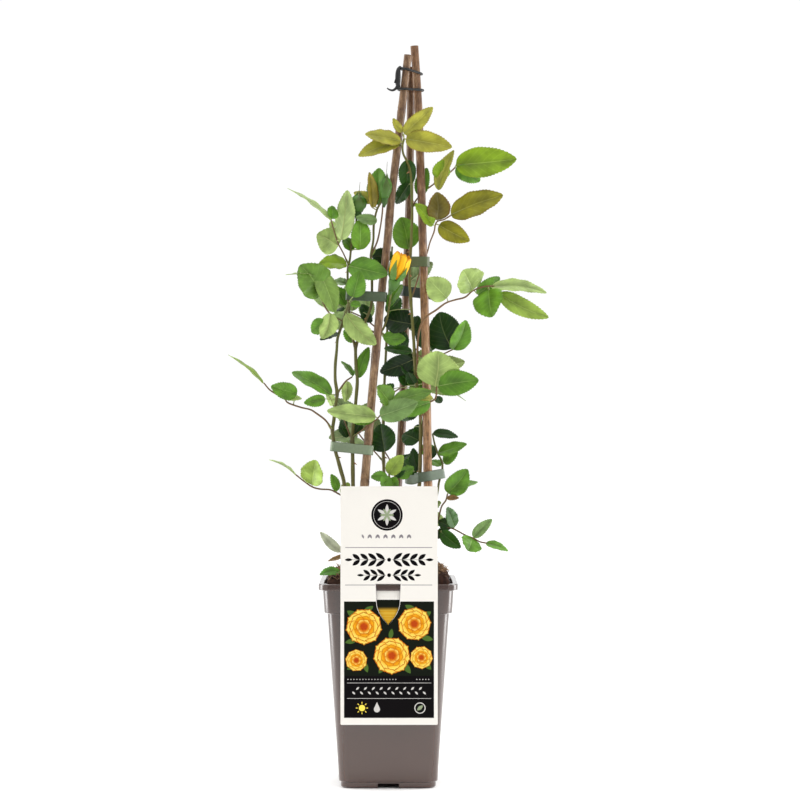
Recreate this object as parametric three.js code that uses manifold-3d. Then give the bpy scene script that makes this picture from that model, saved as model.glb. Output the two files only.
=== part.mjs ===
// A young climbing rose in its square nursery pot, tied to three bamboo canes.
// Millimetres, +Z up, the front towards -Y. The origin is the middle of the pot's underside on the ground.
import * as THREE from "three";
import { mergeVertices } from "three/addons/utils/BufferGeometryUtils.js";
import Module from "manifold-3d";

const wasm = await Module();
wasm.setup();

// Driving dimensions
const potHeight = 222;
const rimHalf = 75; // half the width over the lip
const rimDrop = 7; // height of the lip
const collarHalfTop = 70.5; // the plain band under the lip
const collarHalfBottom = 69;
const collarBottom = 190;
const bodyHalfTop = 65.75;
const bodyHalfBottom = 53.5;
const bodyBottom = 7.5;
const footHalf = 51.5;
const wall = 1.6;
const channelWidth = 23; // drain channels under the floor
const channelHeight = 5.5;
const padRadius = 20; // the flat pad in the middle of the underside
const drainRadius = 3.5;
const gap = 0.35; // clearance between pieces that touch
const moundHeight = 234;
const caneEnd = 100; // how far above the ground the canes end inside the soil
const labelWidth = 104;
const labelBottom = 72;
const labelTop = 327;
const labelThickness = 0.7;
const labelX = 1;
const labelFront = -76.1;
const tongueWidth = 27;
const tongueX = 0;
const tonguePoint = 178.5;
const slotHalf = 15;
const slotFront = -73.3;
const slotBack = -70.9;
const bladeThickness = 0.8;
const strapThickness = 1;
const wireRadius = 1.2;

// The ways a leaflet's upper face can look
const front = [0, -1, 0.35];
const lifted = [0, -0.75, 0.75];
const turned = [0, 1, 0.25];
const flat = [0, -0.1, 1];
const rear = [0, 1, 0.6];

// Small repeatable random numbers
function makeRandom(seed) {
  let state = seed;
  return () => {
    state = (state * 1103515245 + 12345) % 2147483648;
    return state / 2147483648;
  };
}

const vector = (point) => new THREE.Vector3(...point);

// ---- solids ----
function toSolid(geometry) {
  const bare = geometry.clone();
  bare.deleteAttribute("normal");
  bare.deleteAttribute("uv");
  const merged = mergeVertices(bare, 1e-4);
  const solid = new wasm.Manifold(
    new wasm.Mesh({
      numProp: 3,
      vertProperties: new Float32Array(merged.attributes.position.array),
      triVerts: new Uint32Array(merged.index.array),
    }),
  );
  return solid;
}

function toGeometry(solid) {
  const mesh = solid.getMesh();
  const geometry = new THREE.BufferGeometry();
  geometry.setAttribute("position", new THREE.BufferAttribute(new Float32Array(mesh.vertProperties), 3));
  geometry.setIndex(new THREE.BufferAttribute(new Uint32Array(mesh.triVerts), 1));
  return geometry;
}

function fuse(solids) {
  return wasm.Manifold.union(solids);
}

function geometryFrom(points, triangles) {
  const geometry = new THREE.BufferGeometry().setFromPoints(points);
  geometry.setIndex(triangles);
  let volume = 0;
  for (let i = 0; i < triangles.length; i += 3) {
    const [a, b, c] = [0, 1, 2].map((k) => points[triangles[i + k]]);
    volume += a.dot(b.clone().cross(c));
  }
  if (volume < 0) geometry.setIndex(triangles.reverse());
  return geometry;
}

// A closed solid through rings that all have the same number of points
function loft(rings) {
  const count = rings[0].length;
  const middle = (ring) => ring.reduce((sum, p) => sum.add(p), new THREE.Vector3()).divideScalar(count);
  const points = [...rings.flat(), middle(rings[0]), middle(rings.at(-1))];
  const triangles = [];
  for (let j = 0; j < count; j++) {
    const next = (j + 1) % count;
    for (let i = 0; i + 1 < rings.length; i++) {
      const [a, b] = [i * count + j, i * count + next];
      const [c, d] = [a + count, b + count];
      triangles.push(a, b, d, a, d, c);
    }
    const last = (rings.length - 1) * count;
    triangles.push(points.length - 2, next, j);
    triangles.push(points.length - 1, last + j, last + next);
  }
  return toSolid(geometryFrom(points, triangles));
}

// A closed loop of tube through points that come back to the first
function hoop(points, radius, sides) {
  const count = points.length;
  const centre = points.reduce((sum, p) => sum.add(p), new THREE.Vector3()).divideScalar(count);
  const skin = [];
  const triangles = [];
  points.forEach((point, i) => {
    const along = points[(i + 1) % count].clone().sub(points[(i + count - 1) % count]).normalize();
    const out = point.clone().sub(centre);
    out.addScaledVector(along, -out.dot(along)).normalize();
    const up = new THREE.Vector3().crossVectors(along, out);
    for (let j = 0; j < sides; j++) {
      const angle = (j / sides) * Math.PI * 2;
      skin.push(
        point
          .clone()
          .addScaledVector(out, Math.cos(angle) * radius)
          .addScaledVector(up, Math.sin(angle) * radius),
      );
      const [a, b] = [i * sides + j, i * sides + ((j + 1) % sides)];
      const shift = i + 1 < count ? sides : -(count - 1) * sides;
      triangles.push(a, b, b + shift, a, b + shift, a + shift);
    }
  });
  return toSolid(geometryFrom(skin, triangles));
}

// A round tube along a smooth curve, with rings at the given shares of its length
function tube(curve, radiusAt, sides, shares) {
  const turned = new THREE.Quaternion();
  const across = new THREE.Vector3();
  let last = curve.getTangentAt(0);
  across.crossVectors(last, Math.abs(last.z) > 0.7 ? new THREE.Vector3(1, 0, 0) : new THREE.Vector3(0, 0, 1));
  const rings = shares.map((share) => {
    const along = curve.getTangentAt(share);
    across.applyQuaternion(turned.setFromUnitVectors(last, along)).normalize();
    last = along;
    const up = new THREE.Vector3().crossVectors(along, across).normalize();
    const centre = curve.getPointAt(share);
    return Array.from({ length: sides }, (_, j) => {
      const angle = (j / sides) * Math.PI * 2;
      return centre
        .clone()
        .addScaledVector(across, Math.cos(angle) * radiusAt(share))
        .addScaledVector(up, Math.sin(angle) * radiusAt(share));
    });
  });
  return loft(rings);
}

function evenShares(steps) {
  return Array.from({ length: steps + 1 }, (_, i) => i / steps);
}

function smoothCurve(path) {
  return new THREE.CatmullRomCurve3(path.map(vector), false, "centripetal");
}

function box(x0, x1, y0, y1, z0, z1) {
  const geometry = new THREE.BoxGeometry(x1 - x0, y1 - y0, z1 - z0);
  geometry.translate((x0 + x1) / 2, (y0 + y1) / 2, (z0 + z1) / 2);
  return toSolid(geometry);
}

// ---- pot ----
function roundedSquare(half, corner, z) {
  const perCorner = 3;
  const ring = [];
  for (let quarter = 0; quarter < 4; quarter++) {
    for (let step = 0; step <= perCorner; step++) {
      const angle = (quarter + step / perCorner) * (Math.PI / 2);
      const [sx, sy] = [
        [1, 1],
        [-1, 1],
        [-1, -1],
        [1, -1],
      ][quarter];
      const x = sx * (half - corner) + Math.cos(angle) * corner;
      const y = sy * (half - corner) + Math.sin(angle) * corner;
      ring.push(new THREE.Vector3(x, y, z));
    }
  }
  return ring;
}

function squareLoft(profile) {
  return loft(profile.map(([z, half, corner]) => roundedSquare(half, corner, z)));
}

function potInside(shrink) {
  return [
    [wall + shrink, footHalf - wall - 0.4 - shrink, 10],
    [bodyBottom, footHalf - wall - shrink, 10.2],
    [bodyBottom + 2, bodyHalfBottom - wall - shrink, 11],
    [collarBottom - 2, bodyHalfTop - wall - shrink, 12.4],
    [collarBottom + 1.5, collarHalfBottom - wall - shrink, 12.6],
  ];
}

// Four boxes, one towards each side
function onEachSide(makeBox) {
  return [0, 1, 2, 3].map((turn) => makeBox.rotate([0, 0, 90 * turn]));
}

function drainTunnels(grow) {
  const half = channelWidth / 2 + wall + grow;
  const height = channelHeight + wall + grow;
  return onEachSide(box(padRadius - grow, footHalf - 1, -half, half, 0.2, height));
}

function pot() {
  const outside = squareLoft([
    [0, footHalf - 2, 10],
    [2, footHalf, 11.5],
    [bodyBottom - 1, footHalf, 11.5],
    [bodyBottom, bodyHalfBottom, 12],
    [collarBottom - 0.5, bodyHalfTop, 14],
    [collarBottom, collarHalfBottom - 1.2, 14],
    [collarBottom + 1.5, collarHalfBottom, 14],
    [potHeight - rimDrop, collarHalfTop, 14],
    [potHeight - rimDrop + 0.4, rimHalf - 0.6, 14],
    [potHeight - rimDrop + 1.2, rimHalf, 14],
    [potHeight - 1, rimHalf, 14],
    [potHeight, rimHalf - 1, 13.5],
  ]);
  const inside = squareLoft([...potInside(0), [potHeight + 1, collarHalfTop - wall, 12.8]]);
  const shell = fuse([outside.subtract(inside), ...drainTunnels(0)]);
  const halfChannel = channelWidth / 2;
  const channels = onEachSide(box(padRadius, rimHalf, -halfChannel, halfChannel, -1, channelHeight));
  const drains = [];
  for (const [x, y, z] of [
    [37, 0, channelHeight],
    [36, 36, 0],
  ]) {
    const hole = new THREE.CylinderGeometry(drainRadius, drainRadius, 6, 10);
    hole.rotateX(Math.PI / 2).translate(x, y, z + 1);
    drains.push(...onEachSide(toSolid(hole)));
  }
  const slot = box(tongueX - slotHalf, tongueX + slotHalf, slotFront, slotBack, 210, potHeight + 5);
  return shell.subtract(fuse([...channels, ...drains, slot]));
}

// ---- canes ----
const canes = {
  left: {
    foot: 4.9,
    head: 4.3,
    nodes: [92, 232, 372, 520, 640],
    path: [
      [-45, -35, caneEnd],
      [-33, -30, 224],
      [-25.5, -25.5, 332],
      [-21, -23, 387],
      [-18, -21.5, 425],
      [-12.5, -19, 485],
      [-8.5, -17, 528.5],
      [-2, -14.5, 583.5],
      [3, -12, 638.5],
      [9.5, -9.5, 693.5],
      [14.5, -7, 737.5],
      [21.5, -6.5, 798],
    ],
  },
  right: {
    foot: 5.1,
    head: 4.4,
    nodes: [70, 205, 350, 470, 600],
    path: [
      [50, -16.5, caneEnd],
      [46.5, -15, 222.5],
      [43, -11.5, 342.5],
      [42.5, -10.5, 386.5],
      [41, -8, 474],
      [39.5, -6, 529],
      [38, -4.5, 584],
      [36.5, -3, 639],
      [34.5, -1.5, 694],
      [33, 0, 738.5],
      [28.5, 3, 809],
    ],
  },
  back: {
    foot: 4.8,
    head: 4.2,
    nodes: [80, 230, 360, 505, 620],
    path: [
      [2, 47, caneEnd],
      [7, 42, 224],
      [10.5, 36, 330],
      [14, 33, 375],
      [19, 25, 519],
      [21, 21, 585.5],
      [23, 18, 641],
      [24, 14.5, 695.5],
      [24.5, 11.5, 750.5],
      [24.5, 9.5, 787],
    ],
  },
};

function caneSolid({ foot, head, nodes, path }) {
  const curve = smoothCurve(path);
  const length = curve.getLength();
  const stops = [0, 40, ...nodes.flatMap((at) => [at - 7, at, at + 7, at + 65]), length];
  const radiusAt = (share) => {
    const swollen = nodes.some((at) => Math.abs(share * length - at) < 1);
    return foot + (head - foot) * share + (swollen ? 0.8 : 0);
  };
  return tube(curve, radiusAt, 8, stops.filter((at) => at <= length).map((at) => at / length));
}

// The hole that a cane stands in
function caneHole({ foot, path }) {
  return tube(smoothCurve(path.slice(0, 3)), () => foot + 0.8 + gap, 8, [0, 0.5, 1]);
}

// Where a path passes a given height
function pointAtHeight(path, z) {
  const i = path.findIndex((p, k) => k > 0 && p[2] >= z);
  const [a, b] = [vector(path[i - 1]), vector(path[i])];
  return a.lerp(b, (z - a.z) / (b.z - a.z));
}

// The outline of a band pulled tight round discs { x, y, r }
function tightRound(discs, clearance, count) {
  const outline = [];
  for (let i = 0; i < count; i++) {
    const angle = (i / count) * Math.PI * 2;
    const [cx, cy] = [Math.cos(angle), Math.sin(angle)];
    const reach = ({ x, y, r }) => x * cx + y * cy + r;
    const far = discs.reduce((best, disc) => (reach(disc) > reach(best) ? disc : best));
    outline.push([far.x + cx * (far.r + clearance), far.y + cy * (far.r + clearance)]);
  }
  return outline;
}

// ---- tie and straps ----
function topTie() {
  const loopAt = (height, slope) => {
    const discs = Object.values(canes).map(({ path, head }) => {
      const p = pointAtHeight(path, height);
      return { x: p.x, y: p.y, r: head + 0.25 };
    });
    const around = tightRound(discs, gap + wireRadius, 12);
    return around.map(([x, y]) => new THREE.Vector3(x, y, height - slope * (x - tieMiddle)));
  };
  const tieMiddle = 23;
  const upper = loopAt(781, 0.22);
  const lower = loopAt(760, 0);
  const strand = smoothCurve([
    [13.2, -8, 784.5],
    [11, -10, 781],
    [10.4, -10.5, 772],
    [10.6, -10.5, 763],
    [12, -11.2, 759.5],
  ]);
  const tail = smoothCurve([
    [10.8, -10, 766],
    [8.5, -11, 761],
    [4.5, -11.5, 758.5],
    [0.5, -11.5, 759.5],
    [-1.5, -11.5, 761],
  ]);
  const stub = smoothCurve([
    [10.4, -11, 776],
    [8.5, -12, 771],
    [6.8, -12, 766.5],
  ]);
  return fuse([
    hoop(upper, wireRadius, 5),
    hoop(lower, wireRadius, 5),
    tube(strand, (share) => 1.5 + 0.9 * Math.sin(Math.PI * share), 5, evenShares(5)),
    tube(tail, (share) => 1.5 - 0.9 * share, 5, evenShares(5)),
    tube(stub, () => 0.8, 5, evenShares(2)),
  ]);
}

// A flat plastic strap pulled round what it holds; rise tilts it along X
function strap(discs, centre, width, rise) {
  const [outer, inner] = [gap + strapThickness, gap].map((clearance) => tightRound(discs, clearance, 18));
  const shape = new THREE.Shape(outer.map(([x, y]) => new THREE.Vector2(x - centre[0], y - centre[1])));
  shape.holes.push(new THREE.Path(inner.map(([x, y]) => new THREE.Vector2(x - centre[0], y - centre[1]))));
  const geometry = new THREE.ExtrudeGeometry(shape, { depth: width, bevelEnabled: false });
  geometry.translate(0, 0, -width / 2).rotateY(-Math.atan(rise));
  geometry.translate(...centre);
  return toSolid(geometry);
}

const straps = {
  low_left: {
    discs: [
      { x: -58.8, y: -24, r: 3.4 },
      { x: -39.2, y: -23.8, r: 2.5 },
      { x: -23, y: -24, r: 5.6 },
    ],
    centre: [-39, -24, 366.5],
    width: 10.5,
    rise: -0.1,
  },
  mid_left: {
    discs: [
      { x: -43.5, y: -11.5, r: 2.3 },
      { x: -18.6, y: -13, r: 2.3 },
      { x: -8.2, y: -16.8, r: 5.6 },
    ],
    centre: [-25, -14, 533],
    width: 10.5,
    rise: -0.06,
  },
  high_right: {
    discs: [
      { x: 23.6, y: -7.8, r: 3.1 },
      { x: 38.4, y: -4.8, r: 5.6 },
    ],
    centre: [31, -5, 571],
    width: 11,
    rise: 0,
  },
  back: {
    discs: [
      { x: 19.8, y: 24.3, r: 5.4 },
      { x: 48, y: 22, r: 3.4 },
    ],
    centre: [34, 23, 538],
    width: 11,
    rise: -0.12,
  },
  low_right: {
    discs: [
      { x: 33.6, y: -8.7, r: 3.6 },
      { x: 43.2, y: -11.7, r: 5.8 },
      { x: 57.3, y: -4.6, r: 3.4 },
    ],
    centre: [44, -9, 336],
    width: 10.5,
    rise: 0.16,
  },
};

// ---- label ----
function tongueOutline() {
  const half = tongueWidth / 2;
  const shape = new THREE.Shape();
  shape.moveTo(tongueX - half, potHeight + 4);
  shape.lineTo(tongueX - half + 1, 203);
  shape.quadraticCurveTo(tongueX - half + 1.5, 191, tongueX, tonguePoint);
  shape.quadraticCurveTo(tongueX + half - 1.5, 191, tongueX + half - 1, 203);
  shape.lineTo(tongueX + half, potHeight + 4);
  return shape;
}

// Pushes a shape drawn in X and Z through the depth y0..y1
function standing(shape, y0, y1) {
  const geometry = new THREE.ExtrudeGeometry(shape, { depth: y1 - y0, bevelEnabled: false, curveSegments: 5 });
  geometry.rotateX(Math.PI / 2).translate(0, y1, 0);
  return toSolid(geometry);
}

function plantLabel() {
  const [left, right] = [labelX - labelWidth / 2, labelX + labelWidth / 2];
  const back = labelFront + labelThickness;
  const hinge = potHeight + 0.8;
  const card = box(left, right, labelFront, back, labelBottom, labelTop);
  const below = box(-60, 60, -200, 200, 0, hinge);
  const opening = standing(tongueOutline(), labelFront - 1, back + 1).intersect(below);
  const bend = [
    [labelFront, hinge + 2],
    [labelFront, hinge - 0.2],
    [labelFront + 0.5, hinge - 0.4],
    [-72.9, potHeight + 0.4],
    [-72.45, potHeight - 0.4],
    [-72.45, 213],
    [-73.6, 200],
    [-74.6, 177],
    [-73.9, 177],
    [-72.9, 200],
    [-71.75, 213],
    [-71.75, potHeight],
    [-72.2, potHeight + 1],
    [-73, potHeight + 1.2],
    [back, hinge + 0.5],
    [back, hinge + 2],
  ];
  const profile = new THREE.Shape(bend.map(([y, z]) => new THREE.Vector2(y, z)));
  const strip = new THREE.ExtrudeGeometry(profile, { depth: tongueWidth, bevelEnabled: false });
  strip.rotateX(Math.PI / 2).rotateZ(Math.PI / 2).translate(tongueX - tongueWidth / 2, 0, 0);
  const tongue = toSolid(strip).intersect(standing(tongueOutline(), -90, -60));
  return fuse([card.subtract(opening), tongue]);
}

// ---- crown and soil ----
function crown(grow) {
  const shank = [
    [0, 0, 130, 1.5],
    [0.5, 0, 165, 4],
    [0, 0, 195, 6],
    [0, -0.5, 214, 7.5],
    [0, -1, 226, 10.5],
    [0, -1, 233, 12],
    [0, -1, 240, 10.5],
    [0, -1, 244, 6],
  ];
  const rings = shank.map(([x, y, z, radius]) => {
    const ring = [];
    for (let j = 0; j < 8; j++) {
      const angle = (j / 8) * Math.PI * 2;
      const bumpy = radius * (1 + 0.1 * Math.sin(3 * angle + z / 6)) + grow;
      ring.push(new THREE.Vector3(x + Math.cos(angle) * bumpy, y + Math.sin(angle) * bumpy, z));
    }
    return ring;
  });
  const roots = [0, 1, 2].map((i) => {
    const angle = i * 2.1 + 0.4;
    const [cx, cy] = [Math.cos(angle), Math.sin(angle)];
    const curve = smoothCurve([
      [0, 0, 180 - i * 6],
      [cx * 14, cy * 14, 168 - i * 6],
      [cx * 27, cy * 27, 140 - i * 5],
      [cx * 33, cy * 33, 104 - i * 4],
    ]);
    return tube(curve, (share) => 2.8 - 1.6 * share + grow, 4, evenShares(3));
  });
  return fuse([loft(rings), ...roots]);
}

function pottingMix(cutters) {
  const rimInside = collarHalfTop - wall;
  const sides = squareLoft([...potInside(gap), [216.5, rimInside - gap - 0.4, 12.4], [219, rimInside - 3, 12]]);
  const rings = [];
  const steps = 4;
  for (let i = 0; i <= steps; i++) {
    const share = 1 - i / (steps + 1);
    const height = 219 + (moundHeight - 219) * (1 - share ** 4.5);
    const ring = roundedSquare((rimInside - 3) * share, 12 * share, height);
    ring.forEach((p) => {
      const crumbs = Math.sin(p.x * 0.41 + p.y * 0.23) + Math.sin(p.y * 0.47 - p.x * 0.19 + 2);
      p.z += i ? 0.9 * crumbs : 0;
    });
    rings.push(ring);
  }
  const floor = roundedSquare(rimInside - 6, 12, 214);
  return fuse([sides, loft([floor, ...rings])]).subtract(fuse(cutters));
}

// ---- leaves ----
const bladeOutline = [
  [0, 0.16],
  [0.06, 0.5],
  [0.18, 0.84],
  [0.34, 1],
  [0.52, 0.97],
  [0.7, 0.76],
  [0.85, 0.46],
  [1, 0.06],
];

function along(table, s) {
  const i = Math.max(
    1,
    table.findIndex(([at]) => at >= s),
  );
  const [[s0, w0], [s1, w1]] = [table[i - 1], table[i]];
  return w0 + ((w1 - w0) * (s - s0)) / (s1 - s0);
}

// Triangles between two chains of numbered points, each with its share along the blade
function bridge(rowA, rowB) {
  const triangles = [];
  let [i, j] = [0, 0];
  while (i + 1 < rowA.length || j + 1 < rowB.length) {
    const stepA = j + 1 >= rowB.length || (i + 1 < rowA.length && rowA[i + 1].s <= rowB[j + 1].s);
    const [a, b] = [rowA[i], rowB[j]];
    const next = stepA ? rowA[++i] : rowB[++j];
    if (a.index !== b.index && next.index !== a.index && next.index !== b.index) {
      triangles.push([a.index, next.index, b.index]);
    }
  }
  return triangles;
}

// A toothed leaflet: a thin folded plate whose own short stalk runs back to its root.
// It is rolled about its rib by some degrees, and seenWidth is its width without the roll.
function leaflet(root, base, tip, seenWidth, face, roll, random) {
  const axis = tip.clone().sub(base);
  const length = axis.length();
  const direction = axis.clone().normalize();
  const angle = THREE.MathUtils.degToRad(roll);
  const width = seenWidth / Math.cos(angle);
  const normal = face.clone().addScaledVector(direction, -face.dot(direction)).normalize();
  normal.applyAxisAngle(direction, angle);
  const side = new THREE.Vector3().crossVectors(direction, normal);
  const fold = 0.15 + 0.25 * random();
  const arch = 0.03 + 0.06 * random();
  const wave = 0.03 * width;
  const teeth = length > 52 ? 3 : length > 30 ? 2 : 1;
  const stalk = base.clone().sub(root);
  const longStalk = stalk.length() > 5;
  const points = [];
  const lifts = [];
  const add = (point, s, lift = normal) => {
    points.push(point);
    lifts.push(lift.clone().multiplyScalar(bladeThickness / 2));
    return { index: points.length - 1, s };
  };
  const spine = (s) =>
    base
      .clone()
      .addScaledVector(axis, s)
      .addScaledVector(normal, arch * length * Math.sin(Math.PI * s));
  const margin = (s, share, sign) =>
    spine(s)
      .addScaledVector(side, sign * share * (width / 2) * Math.cos(fold))
      .addScaledVector(normal, share * (width / 2) * Math.sin(fold) + wave * Math.sin(9 * s + sign));
  const stalkSide = new THREE.Vector3().crossVectors(stalk, normal);
  if (stalkSide.length() < 0.4 * stalk.length()) stalkSide.copy(side);
  if (stalkSide.dot(side) < 0) stalkSide.negate();
  stalkSide.normalize();
  const stalkLift = new THREE.Vector3().crossVectors(stalkSide, stalk).normalize();
  if (stalkLift.dot(normal) < 0) stalkLift.negate();
  const baseLift = normal.clone().add(stalkLift).normalize();
  const end = add(tip.clone(), 1);
  const rib = teeth > 2 ? [0.25, 0.62] : [0.45];
  const middle = longStalk ? [add(base.clone(), 0, baseLift)] : [];
  middle.push(...rib.map((s) => add(spine(s), s)), end);
  const halves = [1, -1].map((sign) => {
    const row = [add(root.clone().addScaledVector(stalkSide, sign * 0.7), -1, stalkLift)];
    if (longStalk) row.push(add(base.clone().addScaledVector(side, sign * 0.8), 0, baseLift));
    for (let i = 0; i < teeth; i++) {
      const notch = 0.05 + (0.9 * i) / teeth;
      const point = notch + 0.62 / teeth;
      row.push(add(margin(notch, along(bladeOutline, notch) * 0.9, sign), notch));
      row.push(add(margin(point, along(bladeOutline, point) * 1.1, sign), point));
    }
    return [...row, end];
  });
  const faces = [
    [middle[0].index, halves[0][0].index, halves[1][0].index],
    ...bridge(middle, halves[0]),
    ...bridge(middle, halves[1]).map(([a, b, c]) => [a, c, b]),
  ];
  const count = points.length;
  const skin = [
    ...points.map((point, i) => point.clone().add(lifts[i])),
    ...points.map((point, i) => point.clone().sub(lifts[i])),
  ];
  const triangles = faces.flatMap(([a, b, c]) => [a, b, c, a + count, c + count, b + count]);
  const rim = [...halves[0].slice(0, -1), ...halves[1].slice().reverse()];
  rim.forEach((from, i) => {
    const [a, b] = [from.index, rim[(i + 1) % rim.length].index];
    triangles.push(a, b, b + count, a, b + count, a + count);
  });
  return toSolid(geometryFrom(skin, triangles));
}

// The place inside any of the stems that is nearest to a point
function nearestOn(chords, point) {
  let best = null;
  for (const centres of chords) {
    for (let i = 1; i < centres.length; i++) {
      const end = centres[i].clone();
      if (i === centres.length - 1) end.add(centres[i - 1].clone().sub(end).setLength(2.5));
      const place = new THREE.Line3(centres[i - 1], end).closestPointToPoint(point, true, new THREE.Vector3());
      if (!best || place.distanceTo(point) < best.distanceTo(point)) best = place;
    }
  }
  return best;
}

// Three or five leaflets along a leafstalk: an end leaflet and pairs below it
function featherLeaflets(path, length, pairs, face) {
  const curve = smoothCurve(path);
  const up = vector(face).normalize();
  const rows = [];
  const tangent = curve.getTangentAt(1);
  const end = curve.getPointAt(1);
  const across = new THREE.Vector3().crossVectors(tangent, up).normalize();
  rows.push([end.toArray(), end.clone().addScaledVector(tangent, length).toArray(), length * 0.62, face]);
  for (let pair = 0; pair < pairs; pair++) {
    const place = curve.getPointAt(0.86 - 0.34 * pair);
    const size = length * (0.85 - 0.12 * pair);
    for (const sign of [1, -1]) {
      const out = across.clone().multiplyScalar(sign).addScaledVector(tangent, 0.55).normalize();
      const base = place.clone().addScaledVector(out, 2);
      rows.push([base.toArray(), base.clone().addScaledVector(out, size).toArray(), size * 0.6, face]);
    }
  }
  return rows;
}

function prickles(curve, radiusAt, random) {
  const length = curve.getLength();
  const cones = [];
  for (let distance = 60; distance < length - 40; distance += 70) {
    const share = distance / length;
    const [place, tangent] = [curve.getPointAt(share), curve.getTangentAt(share)];
    const angle = random() * Math.PI * 2;
    const out = new THREE.Vector3(Math.cos(angle), Math.sin(angle), 0);
    out.addScaledVector(tangent, -out.dot(tangent)).normalize();
    const cone = new THREE.ConeGeometry(1, 4.2, 3);
    cone.translate(0, 1.5, 0);
    cone.applyQuaternion(new THREE.Quaternion().setFromUnitVectors(new THREE.Vector3(0, 1, 0), out));
    place.addScaledVector(out, radiusAt(share) - 0.6);
    cones.push(toSolid(cone.translate(...place)));
  }
  return cones;
}

// A shoot with its side stems, leafstalks, leaflets and prickles in one piece
function shoot({ stems, leaflets, buds = [] }, seed) {
  const random = makeRandom(seed);
  const pieces = [];
  const chords = stems.map(({ from, to, path }) => {
    const curve = smoothCurve(path);
    const radiusAt = (share) => from + (to - from) * share;
    const thick = from > 1.4;
    const shares = evenShares(Math.max(3, Math.round(curve.getLength() / (thick ? 28 : 18))));
    pieces.push(tube(curve, radiusAt, thick ? 5 : from > 1 ? 4 : 3, shares));
    if (from > 1.9) pieces.push(...prickles(curve, radiusAt, random));
    return shares.map((share) => curve.getPointAt(share));
  });
  for (const [base, tip, width, face, roll = 0] of leaflets) {
    const from = vector(base);
    pieces.push(leaflet(nearestOn(chords, from), from, vector(tip), width, vector(face), roll, random));
  }
  return fuse([...pieces, ...buds]);
}

// ---- the shoots ----
const shootLeft = {
  stems: [
    {
      from: 2.6,
      to: 1.4,
      path: [
        [-10, -2, 236], [-22, -9, 254], [-36, -16, 284], [-48, -22, 315.5], [-48.5, -23.5, 330],
        [-52, -24, 343], [-55, -24, 354], [-57.5, -24, 362.5], [-60, -24, 375.5], [-61, -24, 385.5],
        [-59.5, -23, 397.5], [-57.5, -22, 414], [-56, -21, 426], [-58, -20, 441], [-58, -19, 457.5],
        [-56.5, -18, 474], [-55.5, -18, 487], [-52, -19, 498], [-48.5, -20, 509], [-45, -22, 519.5],
        [-43, -25, 526],
      ],
    },
    {
      from: 1.1,
      to: 0.8,
      path: [
        [-61, -24, 385.5], [-68, -23, 396.5], [-79, -21, 405], [-84.5, -20, 408.5],
        [-96.5, -18, 411.5], [-111, -16, 417], [-113, -15, 420], [-129.5, -13, 430],
        [-136.5, -12, 438],
      ],
    },
    {
      from: 1.2,
      to: 0.8,
      path: [
        [-56, -21, 426], [-52, -17, 432.5], [-46.5, -12, 440], [-40, -8, 444.5],
      ],
    },
    {
      from: 0.9,
      to: 0.8,
      path: [
        [-49.5, -20, 505.5], [-60.5, -24, 511], [-66, -27, 516], [-71, -29, 525],
        [-74.5, -31, 535.5], [-77.5, -32, 549.5], [-77.5, -33, 557.5],
      ],
    },
  ],
  leaflets: [
    [[-73, -32, 533.5], [-95.5, -46, 565.5], 41, front, 8],
    [[-74.5, -33, 557.5], [-58, -40, 514.5], 24, front, -12],
    [[-78.5, -33, 553], [-111.5, -46, 554.5], 20, flat, 0],
    [[-63.5, -27, 514], [-72, -33, 485.5], 19, turned, 35],
    [[-69, -22, 506.5], [-83.5, -16, 492.5], 17, front, -20],
    [[-55, -18, 492.5], [-74.5, -26, 484.5], 14, lifted, 15],
    [[-46.5, -22, 513], [-13.5, -38, 479], 20, turned, -35],
    [[-38.5, -27, 531.5], [-31, -35, 559.5], 22, front, 10],
    [[-137.5, -12, 438], [-176, -9, 469], 19, flat, 0],
    [[-100, -19, 426], [-128, -27, 434.5], 17, front, -30],
    [[-69, -22, 420.5], [-92, -29, 416], 12, front, -20],
    [[-62.5, -20, 425], [-106, -8, 450], 21, front, 30],
    [[-45.5, -10, 440], [-47.5, -6, 417], 12, turned, 15],
    [[-39, -8, 445.5], [-52, -2, 462], 13, flat, 0],
  ],
};

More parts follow.
